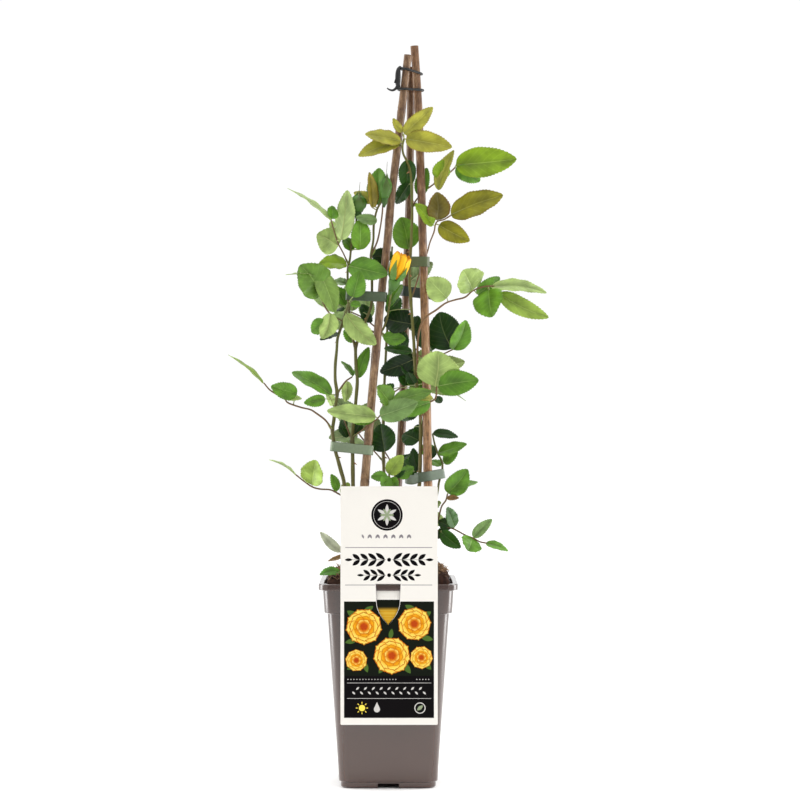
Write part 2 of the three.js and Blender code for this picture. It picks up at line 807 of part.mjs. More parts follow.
const shootMiddle = {
  stems: [
    {
      from: 2.6,
      to: 1.7,
      path: [
        [-4, -8, 236], [-13, -14, 258], [-26, -19, 290], [-38, -23, 310], [-38.5, -23.5, 324.5],
        [-39, -24, 358], [-39.5, -23.5, 375.5], [-38.5, -22, 392], [-36.5, -21, 408.5],
        [-35, -20, 425], [-34, -18, 441], [-35.5, -17, 457.5], [-36, -16, 474], [-36, -15.5, 479.5],
      ],
    },
    {
      from: 1.5,
      to: 1.1,
      path: [
        [-36, -15.5, 477.5], [-40, -14, 489.5], [-42, -12, 501.5], [-43, -11, 515.5],
        [-44, -11, 529], [-44.5, -12, 545], [-44.5, -13, 561.5], [-42, -14, 574.5],
        [-40, -14, 594.5], [-35.5, -14, 611], [-35, -15, 624],
      ],
    },
    {
      from: 1.6,
      to: 1.1,
      path: [
        [-36, -15.5, 477.5], [-31, -14.5, 491.5], [-24.5, -13.5, 507], [-19, -13, 522],
        [-18, -13, 545], [-19, -13, 578], [-16.5, -14, 594.5], [-16, -15, 610.5], [-12.5, -19, 627],
        [-7, -23, 637.5], [-5.5, -25, 644],
      ],
    },
    {
      from: 1,
      to: 0.8,
      path: [
        [-19, -13, 578], [-12.5, -16, 592], [-9, -20, 607], [-7, -24, 620], [-6, -24, 633],
      ],
    },
    {
      from: 0.8,
      to: 0.7,
      path: [
        [-43, -13, 566], [-49.5, -17, 580], [-55, -20, 590.5], [-59.5, -23, 604.5],
        [-62.5, -25, 615.5],
      ],
    },
    {
      from: 0.9,
      to: 0.8,
      path: [
        [-38.5, -23, 379], [-34, -27, 382.5], [-28.5, -32, 386.5], [-20, -36, 393.5],
        [-12.5, -38, 398.5], [-3.5, -38, 409.5], [3, -38, 416],
      ],
    },
    {
      from: 1.2,
      to: 1.2,
      path: [
        [-26.5, -14, 500.5], [-19, -9, 495], [-9.5, -7, 493], [-2, -10, 507], [0.5, -16, 521],
        [2, -24, 530.5], [3, -26.5, 535],
      ],
    },
    {
      from: 1,
      to: 0.8,
      path: [
        [-39.5, -23.5, 373.5], [-43, -20, 383.5], [-47.5, -16, 395], [-49.5, -14, 399.5],
      ],
    },
  ],
  leaflets: [
    [[-62.5, -25, 615.5], [-111, -10, 651.5], 20, flat, 0],
    [[-51.5, -21, 594], [-44.5, -27, 648], 21, turned, -30],
    [[-55, -17, 587.5], [-78.5, -10, 601], 31, turned, 10],
    [[-17, -18, 629], [-21, -23, 668], 12, front, 30],
    [[-10.5, -17, 632.5], [-10.5, -13, 673.5], 23, front, -35],
    [[-19, -12, 635], [-38, -6, 647.5], 14, front, 15],
    [[-12.5, -18, 615], [-35.5, -26, 618.5], 12, front, -10],
    [[-31.5, -17, 583.5], [-30, -22, 618], 21, front, 25],
    [[-43, -16, 566], [-0.5, -28, 555.5], 29, front, -10],
    [[-45.5, -15, 567], [-76, -20, 568], 26, lifted, 5],
    [[-46.5, -6, 523.5], [-60, -1, 543.5], 16, front, 0],
    [[-18, -7, 577.5], [5, 3, 579], 16, front, 30],
    [[-33.5, -12, 443.5], [-21.5, -8, 477.5], 14, front, -10],
    [[-13.5, -38, 401], [-66.5, -46, 407.5], 24, front, 20],
    [[-15.5, -37, 398.5], [-41.5, -33, 397.5], 14, lifted, -15],
    [[-9, -39, 402], [32, -47, 417], 24, front, 10],
    [[2, -38, 416], [-12, -44, 434.5], 24, front, 35],
    [[4, -38, 417], [47.5, -32, 429], 19, front, -20],
    [[0.5, -14, 521], [15, -4, 546.5], 14, front, -35],
    [[-6, -6, 488.5], [19, 0, 486.5], 15, front, 15],
  ],
};

const shootRight = {
  stems: [
    {
      from: 2.4,
      to: 1.2,
      path: [
        [6, -2, 236], [14, -6, 262], [24, -9, 294], [33.5, -9, 324], [34.5, -8, 342.5],
        [35, -7, 364.5], [35.5, -6.5, 386.5], [35, -6.5, 403], [32.5, -7, 419.5], [30, -7, 441],
        [29, -7, 457.5], [28, -7, 479.5], [26.5, -7, 501.5], [24.5, -7, 529], [23, -8, 551],
        [24, -8.5, 573], [25, -8, 595], [26, -7, 622.5], [25.5, -6.5, 644.5], [24, -6.5, 669.5],
        [20.5, -6, 680.5], [16, -9, 690], [15.5, -14, 698.5], [17, -18, 704.5],
      ],
    },
    {
      from: 0.9,
      to: 0.8,
      path: [
        [24.5, -7, 529], [30.5, 1, 547], [36, 7, 565], [42.5, 7, 581.5], [45.5, 4, 592.5],
        [50, 0, 604], [53, -3, 615], [61, -4, 617.5], [68.5, -5, 622],
      ],
    },
    {
      from: 0.9,
      to: 0.8,
      path: [
        [26, -6, 632], [32.5, 4, 642], [41.5, 6, 651], [49, 4, 656.5], [54.5, 2, 661],
        [64.5, 0, 667], [73, -2, 674.5],
      ],
    },
    {
      from: 1.3,
      to: 0.8,
      path: [
        [30, -7, 439], [31.5, -8.5, 457.5], [32, -11, 479.5], [33, -15, 491.5], [36.5, -18, 503.5],
        [43, -19, 511.5], [52, -17, 517.5], [63, -14, 525.5], [73, -12, 529], [84, -10, 532],
        [92.5, -10, 539], [102.5, -11, 543], [113.5, -12, 544], [123.5, -12, 542],
      ],
    },
    {
      from: 1,
      to: 0.9,
      path: [
        [35.5, -6.5, 393], [36.5, -13, 403], [39, -18, 410.5], [44.5, -20, 416.5], [51, -19, 420.5],
        [52.5, -20, 430], [52.5, -20, 434.5],
      ],
    },
    {
      from: 0.9,
      to: 0.8,
      path: [
        [28.5, -7, 468.5], [34.5, 2, 467.5], [45.5, 4, 468], [60, 1, 470], [70, -1, 474.5],
      ],
    },
  ],
  leaflets: [
    [[13.5, -19, 702], [-25.5, -30, 708.5], 21, front, 20],
    [[12.5, -19, 701], [-33, -26, 685], 20, lifted, -15],
    [[19, -18, 704.5], [69.5, -28, 694.5], 24, front, 10],
    [[17, -19, 710], [48.5, -26, 738.5], 15, front, 35],
    [[21.5, -5, 683], [20, 6, 651], 16, front, -15],
    [[22.5, -2, 656.5], [8, 5, 635.5], 16, front, 15],
    [[22.5, 3, 585.5], [14, 12, 621.5], 31, front, 0],
    [[34.5, 5, 644], [42.5, 8, 675.5], 16, front, 0],
    [[54.5, 1, 663.5], [60, -4, 683], 19, front, 20],
    [[54.5, 1, 650.5], [72, -8, 693.5], 16, front, -30],
    [[74, -2, 677.5], [140.5, -14, 683], 34, front, 10],
    [[74, -2, 674.5], [101, 6, 660.5], 16, front, 35],
    [[53.5, -3, 617], [53, -9, 647.5], 26, front, 20],
    [[49, -5, 611.5], [29, -18, 633.5], 19, front, 20],
    [[68.5, -5, 622.5], [125.5, -16, 643.5], 32, front, -12],
    [[55.5, -4, 611.5], [89, -16, 593], 21, front, 15],
    [[64, -15, 531], [43, -22, 552.5], 28, front, -10],
    [[92.5, -11, 540], [81.5, -18, 561.5], 37, front, 25],
    [[97, -9, 535.5], [122.5, 0, 554.5], 16, front, 20],
    [[112.5, -12, 543], [173, -22, 536], 19, front, -30],
    [[121, -11, 535.5], [175, -22, 509], 20, front, 10],
    [[110, -13, 539.5], [113, -26, 509.5], 32, front, 35],
    [[70, 3, 475.5], [56, 13, 516.5], 38, front, -20],
    [[71, -2, 474.5], [85, -10, 507], 20, front, 30],
    [[51, -21, 434.5], [54, -34, 472.5], 47, turned, -8],
    [[54, -20, 434.5], [98.5, -28, 441], 27, front, 15],
    [[54, -19, 431.5], [85, -12, 418], 10, flat, 0],
    [[48.5, -20, 421.5], [29, -27, 420.5], 9, front, 20],
    [[45.5, -21, 417], [9.5, -31, 403], 16, front, -30],
    [[33.5, -3, 406], [14, 4, 397.5], 15, front, 10],
    [[24.5, -3, 503], [-5, 6, 509.5], 32, front, 8],
    [[27, -3, 463.5], [-9.5, 6, 450], 21, front, -20],
    [[28, -3, 441.5], [12.5, 6, 465.5], 15, front, 30],
    [[33.5, -4, 374.5], [16, 5, 382], 26, front, 15],
    [[33.5, -5, 340], [27, 1, 366.5], 13, front, -10],
    [[48, 12, 473.5], [32.5, 16, 504.5], 26, front, 25],
    [[26, 4, 472], [-5, 10, 476.5], 13, front, 20],
    [[39, 2, 437], [19.5, 6, 450], 19, front, -30],
    [[23.5, 1, 442.5], [11.5, 6, 465.5], 15, front, 10],
  ],
};

const shootLowRight = {
  stems: [
    {
      from: 1.7,
      to: 1,
      path: [
        [9, 1, 238], [24, 3, 252], [40, 2, 282], [53, -3, 314], [55.5, -4, 329], [59, -5, 342.5],
        [59, -5, 351], [54.5, -4, 360], [50.5, -3, 372], [48.5, -3, 382],
      ],
    },
  ],
  leaflets: [
    [[49, -4, 383], [76.5, -8, 378.5], 12, lifted, 10],
    [[54.5, -5, 361], [86, -14, 371], 17, front, -30],
    [[61, -6, 350], [76, -12, 362.5], 12, front, 10],
  ],
};

const twigLowRight = {
  stems: [
    {
      from: 1.4,
      to: 0.8,
      path: [
        [10, -5, 238], [26, -5, 250], [41, -5.5, 266], [54.5, -11, 289], [56.5, -15, 297],
        [58.5, -16, 303.5], [63, -17, 310], [64.5, -18, 316.5],
      ],
    },
    {
      from: 0.9,
      to: 0.8,
      path: [
        [41, -5.5, 266], [54.5, -11, 276], [67.5, -17, 279.5], [76, -18, 276], [83.5, -19, 272],
        [92.5, -20, 268.5], [100, -20, 264.5], [107.5, -20, 263],
      ],
    },
  ],
  leaflets: [
    [[65, -18, 317.5], [86.5, -26, 344], 23, front, 20],
    [[66, -17, 320], [98, -10, 329.5], 14, lifted, -15],
    [[72.5, -18, 280.5], [64, -24, 302.5], 15, front, 35],
    [[57.5, -16, 275], [79, -22, 258], 14, front, 30],
    [[92.5, -20, 269.5], [113, -26, 289.5], 12, front, 15],
    [[106.5, -20, 263], [130.5, -24, 254.5], 12, lifted, -5],
  ],
};

const twigLowMiddle = {
  stems: [
    {
      from: 1.45,
      to: 0.9,
      path: [
        [1, -7, 238], [2, -17, 256], [3, -25, 290], [3, -27, 318], [2, -27, 332], [0.5, -27, 338.5],
      ],
    },
    {
      from: 1,
      to: 0.8,
      path: [
        [3, -27, 325.5], [7, -20, 338.5], [1.5, -12, 353.5], [-4, -8, 362.5],
      ],
    },
  ],
  leaflets: [
    [[0.5, -28, 338.5], [16, -35, 359.5], 16, front, 20],
    [[-4, -8, 362.5], [-8.5, 0, 393], 30, front, -20],
    [[9, -19, 336.5], [28, -14, 346], 12, front, 30],
    [[5, -15, 346], [24.5, -6, 360], 9, front, -35],
    [[8.5, -21, 334], [17, -14, 352.5], 9, front, 15],
  ],
};

const twigLowLeft = {
  stems: [
    {
      from: 1.3,
      to: 0.8,
      path: [
        [-9, 5, 238], [-24, 2, 256], [-42, -8, 284], [-49.5, -16, 313], [-56, -17, 317.5],
        [-63, -17.5, 321], [-75, -18, 322], [-82.5, -18, 324], [-91, -18, 329.5],
        [-101, -18, 337.5],
      ],
    },
    {
      from: 1.1,
      to: 0.8,
      path: [
        [-24, 2, 256], [-37, -8, 256], [-49.5, -18, 252], [-53, -19, 253.5],
      ],
    },
  ],
  leaflets: [
    [[-101, -18, 337.5], [-130.5, -20, 354], 15, flat, 0],
    [[-83.5, -18, 326.5], [-79, -26, 354], 27, front, -30],
    [[-56, -17, 320], [-62.5, -22, 338.5], 10, front, 10],
    [[-52, -19, 253.5], [-74.5, -24, 275.5], 14, front, -20],
  ],
};

const shootBack = {
  stems: [
    {
      from: 2.2,
      to: 1.1,
      path: [
        [1, 7, 238], [-1, 18, 262], [-4, 27, 310], [-6, 31, 370], [-5, 34, 430], [-2, 35, 490],
        [1, 33, 545], [4, 30, 590],
      ],
    },
    {
      from: 0.9,
      to: 0.8,
      path: [
        [-5, 30, 350], [-16, 38, 362], [-29, 43, 376], [-38, 46, 388],
      ],
    },
    {
      from: 0.9,
      to: 0.8,
      path: [
        [-5, 34, 420], [12, 44, 432], [30, 46, 442], [46, 44, 448],
      ],
    },
    {
      from: 0.9,
      to: 0.8,
      path: [
        [-2, 35, 488], [-14, 42, 500], [-30, 44, 512], [-48, 42, 520],
      ],
    },
    {
      from: 0.9,
      to: 0.8,
      path: [
        [0, 34, 525], [10, 40, 540], [24, 44, 552],
      ],
    },
    {
      from: 0.9,
      to: 0.8,
      path: [
        [-3, 24, 296], [8, 26, 298], [24, 34, 296], [38, 42, 290],
      ],
    },
  ],
  leaflets: [
  ],
};

// ---- buds ----
function budFrame(base, tip) {
  const axis = vector(tip).sub(vector(base));
  const across = new THREE.Vector3().crossVectors(axis, new THREE.Vector3(0, 1, 0)).normalize();
  const deep = new THREE.Vector3().crossVectors(axis, across).normalize();
  return (share, radius, angle) =>
    vector(base)
      .addScaledVector(axis, share)
      .addScaledVector(across, Math.cos(angle) * radius)
      .addScaledVector(deep, Math.sin(angle) * radius);
}

// Round rings along a bud's axis, from a table of share and radius
function budBody(frame, table, sides) {
  const angles = Array.from({ length: sides }, (_, j) => (j / sides) * Math.PI * 2);
  return loft(table.map(([share, radius]) => angles.map((angle) => frame(share, radius, angle))));
}

// A curved plate that hugs a bud: spanAt and radiusAt give its half angle and inner radius
function hug(frame, middle, from, to, spanAt, radiusAt, thickness) {
  const [columns, rows] = [2, 3];
  const inner = [];
  const outer = [];
  for (let i = 0; i <= rows; i++) {
    for (let j = 0; j <= columns; j++) {
      const u = (2 * j) / columns - 1;
      const share = from + ((to - from) * i) / rows;
      const bent = share - 0.14 * u * u * (share - from);
      const angle = middle + u * spanAt(share);
      inner.push(frame(bent, radiusAt(share, u), angle));
      outer.push(frame(bent, radiusAt(share, u) + thickness, angle));
    }
  }
  const count = inner.length;
  const at = (i, j) => i * (columns + 1) + j;
  const triangles = [];
  for (let i = 0; i < rows; i++) {
    for (let j = 0; j < columns; j++) {
      const [a, b, c, d] = [at(i, j), at(i, j + 1), at(i + 1, j + 1), at(i + 1, j)];
      triangles.push(a, b, c, a, c, d);
      triangles.push(a + count, c + count, b + count, a + count, d + count, c + count);
    }
  }
  const rim = [];
  for (let j = 0; j < columns; j++) rim.push(at(0, j));
  for (let i = 0; i < rows; i++) rim.push(at(i, columns));
  for (let j = columns; j > 0; j--) rim.push(at(rows, j));
  for (let i = rows; i > 0; i--) rim.push(at(i, 0));
  rim.forEach((a, k) => {
    const b = rim[(k + 1) % rim.length];
    triangles.push(b, a, a + count, b, a + count, b + count);
  });
  return toSolid(geometryFrom([...inner, ...outer], triangles));
}

const rosebud = { base: [7, -27.5, 549.5], tip: [16.5, -29, 578.5] };
const rosebudProfile = [
  [0, 5],
  [0.15, 8.2],
  [0.35, 10],
  [0.6, 10.6],
  [0.8, 10.2],
  [1, 8.8],
  [1.2, 7],
];

// Four outer petals folded round a closed heart
function rosebudPetals() {
  const frame = budFrame(rosebud.base, rosebud.tip);
  const radius = (share) => along(rosebudProfile, Math.max(share, 0));
  const insets = [
    [0, 0],
    [0.15, 0.6],
    [0.35, 0.6],
    [0.6, 0.6],
    [0.8, 0.9],
    [0.9, 3],
    [1, 5],
  ];
  const core = insets.map(([share, inset]) => [share, radius(share) - inset]);
  const petals = [0, 1, 2, 3].map((k) =>
    hug(
      frame,
      (k * Math.PI * 2) / 4 + 0.5,
      0.04,
      0.98 + 0.05 * (k % 3),
      () => 0.95,
      (share, u) => radius(share) - 1.7 + 0.6 * u + 0.5 * Math.max(0, share - 0.8),
      1.1,
    ),
  );
  return fuse([budBody(frame, core, 8), ...petals]);
}

// The green cup under the petals and its five pointed sepals
function rosebudSepals() {
  const frame = budFrame(rosebud.base, rosebud.tip);
  const cup = budBody(
    frame,
    [
      [-0.55, 1.1],
      [-0.43, 1.6],
      [-0.34, 3.9],
      [-0.22, 5.1],
      [-0.13, 6.2],
      [-0.03, 6.7],
      [-0.014, 6.6],
    ],
    8,
  );
  const sepals = [0, 1, 2, 3, 4].map((k) =>
    hug(
      frame,
      (k * Math.PI * 2) / 5 - 0.4,
      -0.1,
      [0.62, 0.5, 0.55, 0.5, 0.66][k],
      (share) => 0.52 * Math.max(0.06, Math.cos(Math.max(0, share) * 2.35)),
      (share) => along(rosebudProfile, Math.max(share, 0)) + 0.75,
      0.8,
    ),
  );
  return [cup, ...sepals];
}

// A closed bud on its swollen base, with the sepals' long tip
function greenBud(base, tip, size) {
  const frame = budFrame(base, tip);
  const table = [
    [-0.1, 0.14],
    [0.08, 0.56],
    [0.34, 0.55],
    [0.55, 0.95],
    [0.72, 1],
    [0.9, 0.8],
    [1, 0.35],
    [1.35, 0.12],
    [1.6, 0.06],
  ];
  return budBody(
    frame,
    table.map(([share, radius]) => [share, Math.max(0.5, radius * size)]),
    8,
  );
}

// A loose leaflet that dropped on the soil
function fallenLeaf() {
  const base = new THREE.Vector3(-52, -50, 234);
  const tip = new THREE.Vector3(-74, -56, 231);
  const root = base.clone().add(new THREE.Vector3(4, 2, 0));
  return leaflet(root, base, tip, 15, new THREE.Vector3(0.2, -0.6, 1), 0, makeRandom(9));
}

// The back shoot's leaves: which stem, its leaflets' length and how many pairs
const rearLeaves = [
  [1, 42, 2],
  [2, 42, 1],
  [3, 42, 2],
  [4, 34, 1],
  [5, 32, 1],
];
for (const [stem, length, pairs] of rearLeaves) {
  shootBack.leaflets.push(...featherLeaflets(shootBack.stems[stem].path, length, pairs, rear));
}
shootMiddle.buds = [
  greenBud([-36, -15, 620], [-34, -16.5, 645], 8),
  greenBud([-6, -25, 640], [-4, -26, 658], 6.3),
  ...rosebudSepals(),
];

// ---- the whole ----
const group = new THREE.Group();

function place(name, solid, color, roughness, metalness = 0) {
  const material = new THREE.MeshStandardMaterial({ color, roughness, metalness });
  const mesh = new THREE.Mesh(toGeometry(solid), material);
  mesh.name = name;
  group.add(mesh);
}

const caneHoles = Object.values(canes).map(caneHole);
const shoots = {
  rose_shoot_left: shootLeft,
  rose_shoot_middle: shootMiddle,
  rose_shoot_right: shootRight,
  rose_shoot_back: shootBack,
  rose_shoot_low_right: shootLowRight,
  rose_twig_low_right: twigLowRight,
  rose_twig_low_middle: twigLowMiddle,
  rose_twig_low_left: twigLowLeft,
};
const sockets = Object.values(shoots).map(({ stems: [{ from, path }] }) =>
  tube(smoothCurve(path.slice(0, 3)), () => from + gap, 6, evenShares(2)),
);

place("pot", pot(), 0x7a6a60, 0.35);
place("potting_mix", pottingMix([...caneHoles, ...drainTunnels(gap), crown(gap)]), 0x5a3a22, 1);
place("plant_label", plantLabel(), 0xf8f6f3, 0.4);
for (const [side, cane] of Object.entries(canes)) {
  place(`bamboo_cane_${side}`, caneSolid(cane), 0xa9805a, 0.6);
}
place("cane_top_tie", topTie(), 0x1c1b1c, 0.5);
for (const [where, { discs, centre, width, rise }] of Object.entries(straps)) {
  place(`strap_${where}`, strap(discs, centre, width, rise), 0x4f6348, 0.35);
}
place("rose_crown", crown(0).subtract(fuse(sockets)), 0x5b4630, 0.9);
Object.entries(shoots).forEach(([name, parts], i) => {
  place(name, shoot(parts, i + 1), 0x5d9433, 0.5);
});
place("rosebud_petals", rosebudPetals(), 0xfcc21a, 0.6);
place("fallen_leaf", fallenLeaf(), 0x3f7a24, 0.55);

export default group;
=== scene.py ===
# A young climbing rose in its square pot, strapped to three bamboo canes
import math
import random

import bmesh
import bpy
from mathutils import Matrix, Quaternion, Vector, noise


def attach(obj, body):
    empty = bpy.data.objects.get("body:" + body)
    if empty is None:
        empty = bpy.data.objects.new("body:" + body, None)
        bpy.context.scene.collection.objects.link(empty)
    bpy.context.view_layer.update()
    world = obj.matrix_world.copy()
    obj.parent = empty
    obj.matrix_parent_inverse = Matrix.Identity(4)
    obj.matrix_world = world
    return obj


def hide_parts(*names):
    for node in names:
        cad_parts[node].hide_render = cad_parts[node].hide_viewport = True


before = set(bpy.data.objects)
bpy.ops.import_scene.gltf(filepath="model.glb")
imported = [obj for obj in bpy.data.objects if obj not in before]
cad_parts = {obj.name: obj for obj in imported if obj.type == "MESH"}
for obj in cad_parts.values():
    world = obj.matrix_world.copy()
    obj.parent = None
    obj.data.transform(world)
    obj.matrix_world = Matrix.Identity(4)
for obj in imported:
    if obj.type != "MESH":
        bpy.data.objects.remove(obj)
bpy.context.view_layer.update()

mm = 0.001
up = Vector((0, 0, 1))
white = (1, 1, 1, 1)
print("frame loaded")


def toLinear(hexColour):
    channels = [int(hexColour[i:i + 2], 16) / 255 for i in (1, 3, 5)]
    return tuple(c / 12.92 if c < 0.04045 else ((c + 0.055) / 1.055) ** 2.4 for c in channels) + (1,)


def blendColours(first, second, share):
    return tuple(a + (b - a) * share for a, b in zip(first, second))


def smoothStep(low, high, value):
    t = min(1, max(0, (value - low) / (high - low)))
    return t * t * (3 - 2 * t)


def smoothPath(points, spacing):  # even steps along a centripetal Catmull-Rom curve, in metres
    nodes = [Vector(p) * mm for p in points]
    nodes = [nodes[0] * 2 - nodes[1]] + nodes + [nodes[-1] * 2 - nodes[-2]]
    dense = [nodes[1].copy()]
    for p0, p1, p2, p3 in zip(nodes, nodes[1:], nodes[2:], nodes[3:]):
        d0, d1, d2 = [max(1e-4, (b - a).length) ** 0.5 for a, b in ((p0, p1), (p1, p2), (p2, p3))]
        t1 = ((p1 - p0) / d0 - (p2 - p0) / (d0 + d1) + (p2 - p1) / d1) * d1
        t2 = ((p2 - p1) / d1 - (p3 - p1) / (d1 + d2) + (p3 - p2) / d2) * d1
        for step in range(1, 17):
            t = step / 16
            dense.append(
                p1 + t1 * t + (-3 * p1 + 3 * p2 - 2 * t1 - t2) * t ** 2 + (2 * p1 - 2 * p2 + t1 + t2) * t ** 3
            )
    lengths = [0]
    for a, b in zip(dense, dense[1:]):
        lengths.append(lengths[-1] + (b - a).length)
    count = max(2, round(lengths[-1] / spacing))
    path = []
    i = 0
    for step in range(count + 1):
        want = lengths[-1] * step / count
        while i < len(dense) - 2 and lengths[i + 1] < want:
            i += 1
        share = (want - lengths[i]) / max(1e-9, lengths[i + 1] - lengths[i])
        path.append(dense[i].lerp(dense[i + 1], min(1, max(0, share))))
    return path


def pathLength(path):  # in millimetres
    return sum((b - a).length for a, b in zip(path, path[1:])) / mm


def carriedFrames(path):  # a tangent and two cross directions at each point, without twisting
    frames = []
    last = None
    for i in range(len(path)):
        tangent = (path[min(i + 1, len(path) - 1)] - path[max(i - 1, 0)]).normalized()
        if last is None:
            across = tangent.cross(Vector((1, 0, 0)) if abs(tangent.z) > 0.7 else up).normalized()
        else:
            across = last.rotation_difference(tangent) @ across
        across = (across - tangent * across.dot(tangent)).normalized()
        last = tangent
        frames.append((tangent, across, tangent.cross(across)))
    return frames


def newSkin():
    return {"points": [], "tints": [], "maps": [], "faces": [], "finishes": []}


def addPoint(skin, point, tint, place=(0, 0)):
    skin["points"].append(point)
    skin["tints"].append(tint)
    skin["maps"].append(place)
    return len(skin["points"]) - 1


def addFace(skin, corners, finish=0):
    skin["faces"].append(corners)
    skin["finishes"].append(finish)


def addRings(skin, rings, tints, finish=0, capped=True, maps=None):  # a tube through rings of points
    count = len(rings[0])
    first = len(skin["points"])
    for i, ring in enumerate(rings):
        for j, point in enumerate(ring):
            addPoint(skin, point, tints[i], maps[i][j] if maps else (j / count, i))
    for i in range(len(rings) - 1):
        for j in range(count):
            a, b = first + i * count + j, first + i * count + (j + 1) % count
            addFace(skin, (a, b, b + count, a + count), finish)
    if capped:
        for i, turn in ((0, 1), (len(rings) - 1, -1)):
            middle = addPoint(skin, sum(rings[i], Vector()) / count, tints[i], (0.5, i))
            for j in range(count):
                a, b = first + i * count + j, first + i * count + (j + 1) % count
                addFace(skin, (b, a, middle) if turn == 1 else (a, b, middle), finish)


def joinSections(skin, first, count, sides):  # faces round a closed loop whose sections are laid down
    for i in range(count):
        shift = sides if i + 1 < count else -(count - 1) * sides
        for j in range(sides):
            a, b = first + i * sides + j, first + i * sides + (j + 1) % sides
            addFace(skin, (a, b, b + shift, a + shift))


def addTube(skin, path, radiusAt, sides, tintAt, finish=0, capped=True):
    rings, tints, maps = [], [], []
    distance = 0
    for i, (point, (_, across, other)) in enumerate(zip(path, carriedFrames(path))):
        share = i / (len(path) - 1)
        distance += (path[i] - path[i - 1]).length if i else 0
        radius = radiusAt(share)
        turns = [math.tau * j / sides for j in range(sides)]
        rings.append([point + (across * math.cos(t) + other * math.sin(t)) * radius for t in turns])
        tints.append(tintAt(share))
        maps.append([(j / sides, distance) for j in range(sides)])
    addRings(skin, rings, tints, finish, capped, maps)


def sheetNormals(grid, outward=None):  # all on the side that outward points to, where it is given
    rows, count = len(grid), len(grid[0])
    normals = []
    for i in range(rows):
        line = []
        for j in range(count):
            a = grid[min(i + 1, rows - 1)][j] - grid[max(i - 1, 0)][j]
            c = grid[i][min(j + 1, count - 1)] - grid[i][max(j - 1, 0)]
            n = c.cross(a)
            if outward is not None and n.length < 1e-12:
                n = outward.copy()
            n.normalize()
            line.append(-n if outward is not None and n.dot(outward) <= 0 else n)
        normals.append(line)
    return normals


# a closed thin shell over a grid of points
def addSheet(skin, grid, thickness, tintAt, finishes, mapAt=None, outward=None):
    rows, count = len(grid), len(grid[0])
    first = len(skin["points"])
    normals = sheetNormals(grid, outward)
    for face in (0, 1):
        for i in range(rows):
            for j in range(count):
                point = grid[i][j] - normals[i][j] * thickness(i, j) * (face - 0.5)
                place = mapAt(i, j) if mapAt else (j / (count - 1), i / (rows - 1))
                addPoint(skin, point, tintAt(i, j, face), place)
    sheet = rows * count
    for i in range(rows - 1):
        for j in range(count - 1):
            a = first + i * count + j
            addFace(skin, (a, a + 1, a + 1 + count, a + count), finishes[0])
            c = a + sheet
            addFace(skin, (c, c + count, c + count + 1, c + 1), finishes[1])
        for j, turned in ((0, False), (count - 1, True)):
            a = first + i * count + j
            quad = (a, a + count, a + count + sheet, a + sheet)
            addFace(skin, quad[::-1] if turned else quad, finishes[0])
    for i, turned in ((0, False), (rows - 1, True)):
        for j in range(count - 1):
            a = first + i * count + j
            quad = (a, a + sheet, a + sheet + 1, a + 1)
            addFace(skin, quad[::-1] if turned else quad, finishes[0])


def makePiece(name, skin, materials, smooth=True, body="root"):
    mesh = bpy.data.meshes.new(name)
    mesh.from_pydata(skin["points"], [], skin["faces"])
    for material in materials:
        mesh.materials.append(material)
    mesh.polygons.foreach_set("material_index", skin["finishes"])
    mesh.polygons.foreach_set("use_smooth", [smooth] * len(skin["faces"]))
    tint = mesh.color_attributes.new("tint", "FLOAT_COLOR", "POINT")
    tint.data.foreach_set("color", [c for colour in skin["tints"] for c in colour])
    layer = mesh.uv_layers.new(name="place")
    layer.data.foreach_set("uv", [c for loop in mesh.loops for c in skin["maps"][loop.vertex_index]])
    mesh.update()
    piece = bpy.data.objects.new(name, mesh)
    bpy.context.scene.collection.objects.link(piece)
    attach(piece, body)
    return piece


def addNode(tree, kind, feeds):  # a feed is another node's output, the value of an input or a setting
    made = tree.nodes.new(kind)
    for name, feed in feeds.items():
        if isinstance(feed, bpy.types.NodeSocket):
            tree.links.new(feed, made.inputs[name])
        elif isinstance(name, int) or name in made.inputs:
            made.inputs[name].default_value = feed
        else:
            setattr(made, name, feed)
    return made


def addMaths(tree, operation, *values):
    return addNode(tree, "ShaderNodeMath", {"operation": operation, **dict(enumerate(values))}).outputs[0]


def addRange(tree, value, low, high, first=0, last=1, curve="LINEAR"):
    return addNode(tree, "ShaderNodeMapRange", {
        "interpolation_type": curve, "From Min": low, "From Max": high, "To Min": first, "To Max": last,
        "Value": value}).outputs[0]


def addClouds(tree, place, size, detail, roughness=0.5):  # noise in patches of about this size
    return addNode(tree, "ShaderNodeTexNoise", {
        "Scale": 1 / size, "Detail": detail, "Roughness": roughness, "Vector": place}).outputs["Fac"]


def addMix(tree, share, first, second):
    return addNode(tree, "ShaderNodeMixRGB", {"Fac": share, "Color1": first, "Color2": second}).outputs[0]


def addStretch(tree, place, stretch):
    return addNode(tree, "ShaderNodeMapping", {"Scale": stretch, "Vector": place}).outputs[0]


def meshTint(tree):  # the colour laid down on the mesh
    return addNode(tree, "ShaderNodeAttribute", {"attribute_name": "tint"}).outputs["Color"]


def scaled(tree, colour, amount):
    feeds = {"operation": "SCALE", 0: colour, "Scale": amount}
    return addNode(tree, "ShaderNodeVectorMath", feeds).outputs[0]


def darker(tree, colour, share, amount):  # multiplies a colour down where share is high
    return scaled(tree, colour, addRange(tree, share, 0, 1, 1, 1 - amount))


def raised(tree, shader, height, depth, strength=1.0):
    bump = addNode(tree, "ShaderNodeBump", {"Strength": strength, "Distance": depth, "Height": height})
    tree.links.new(bump.outputs["Normal"], shader.inputs["Normal"])


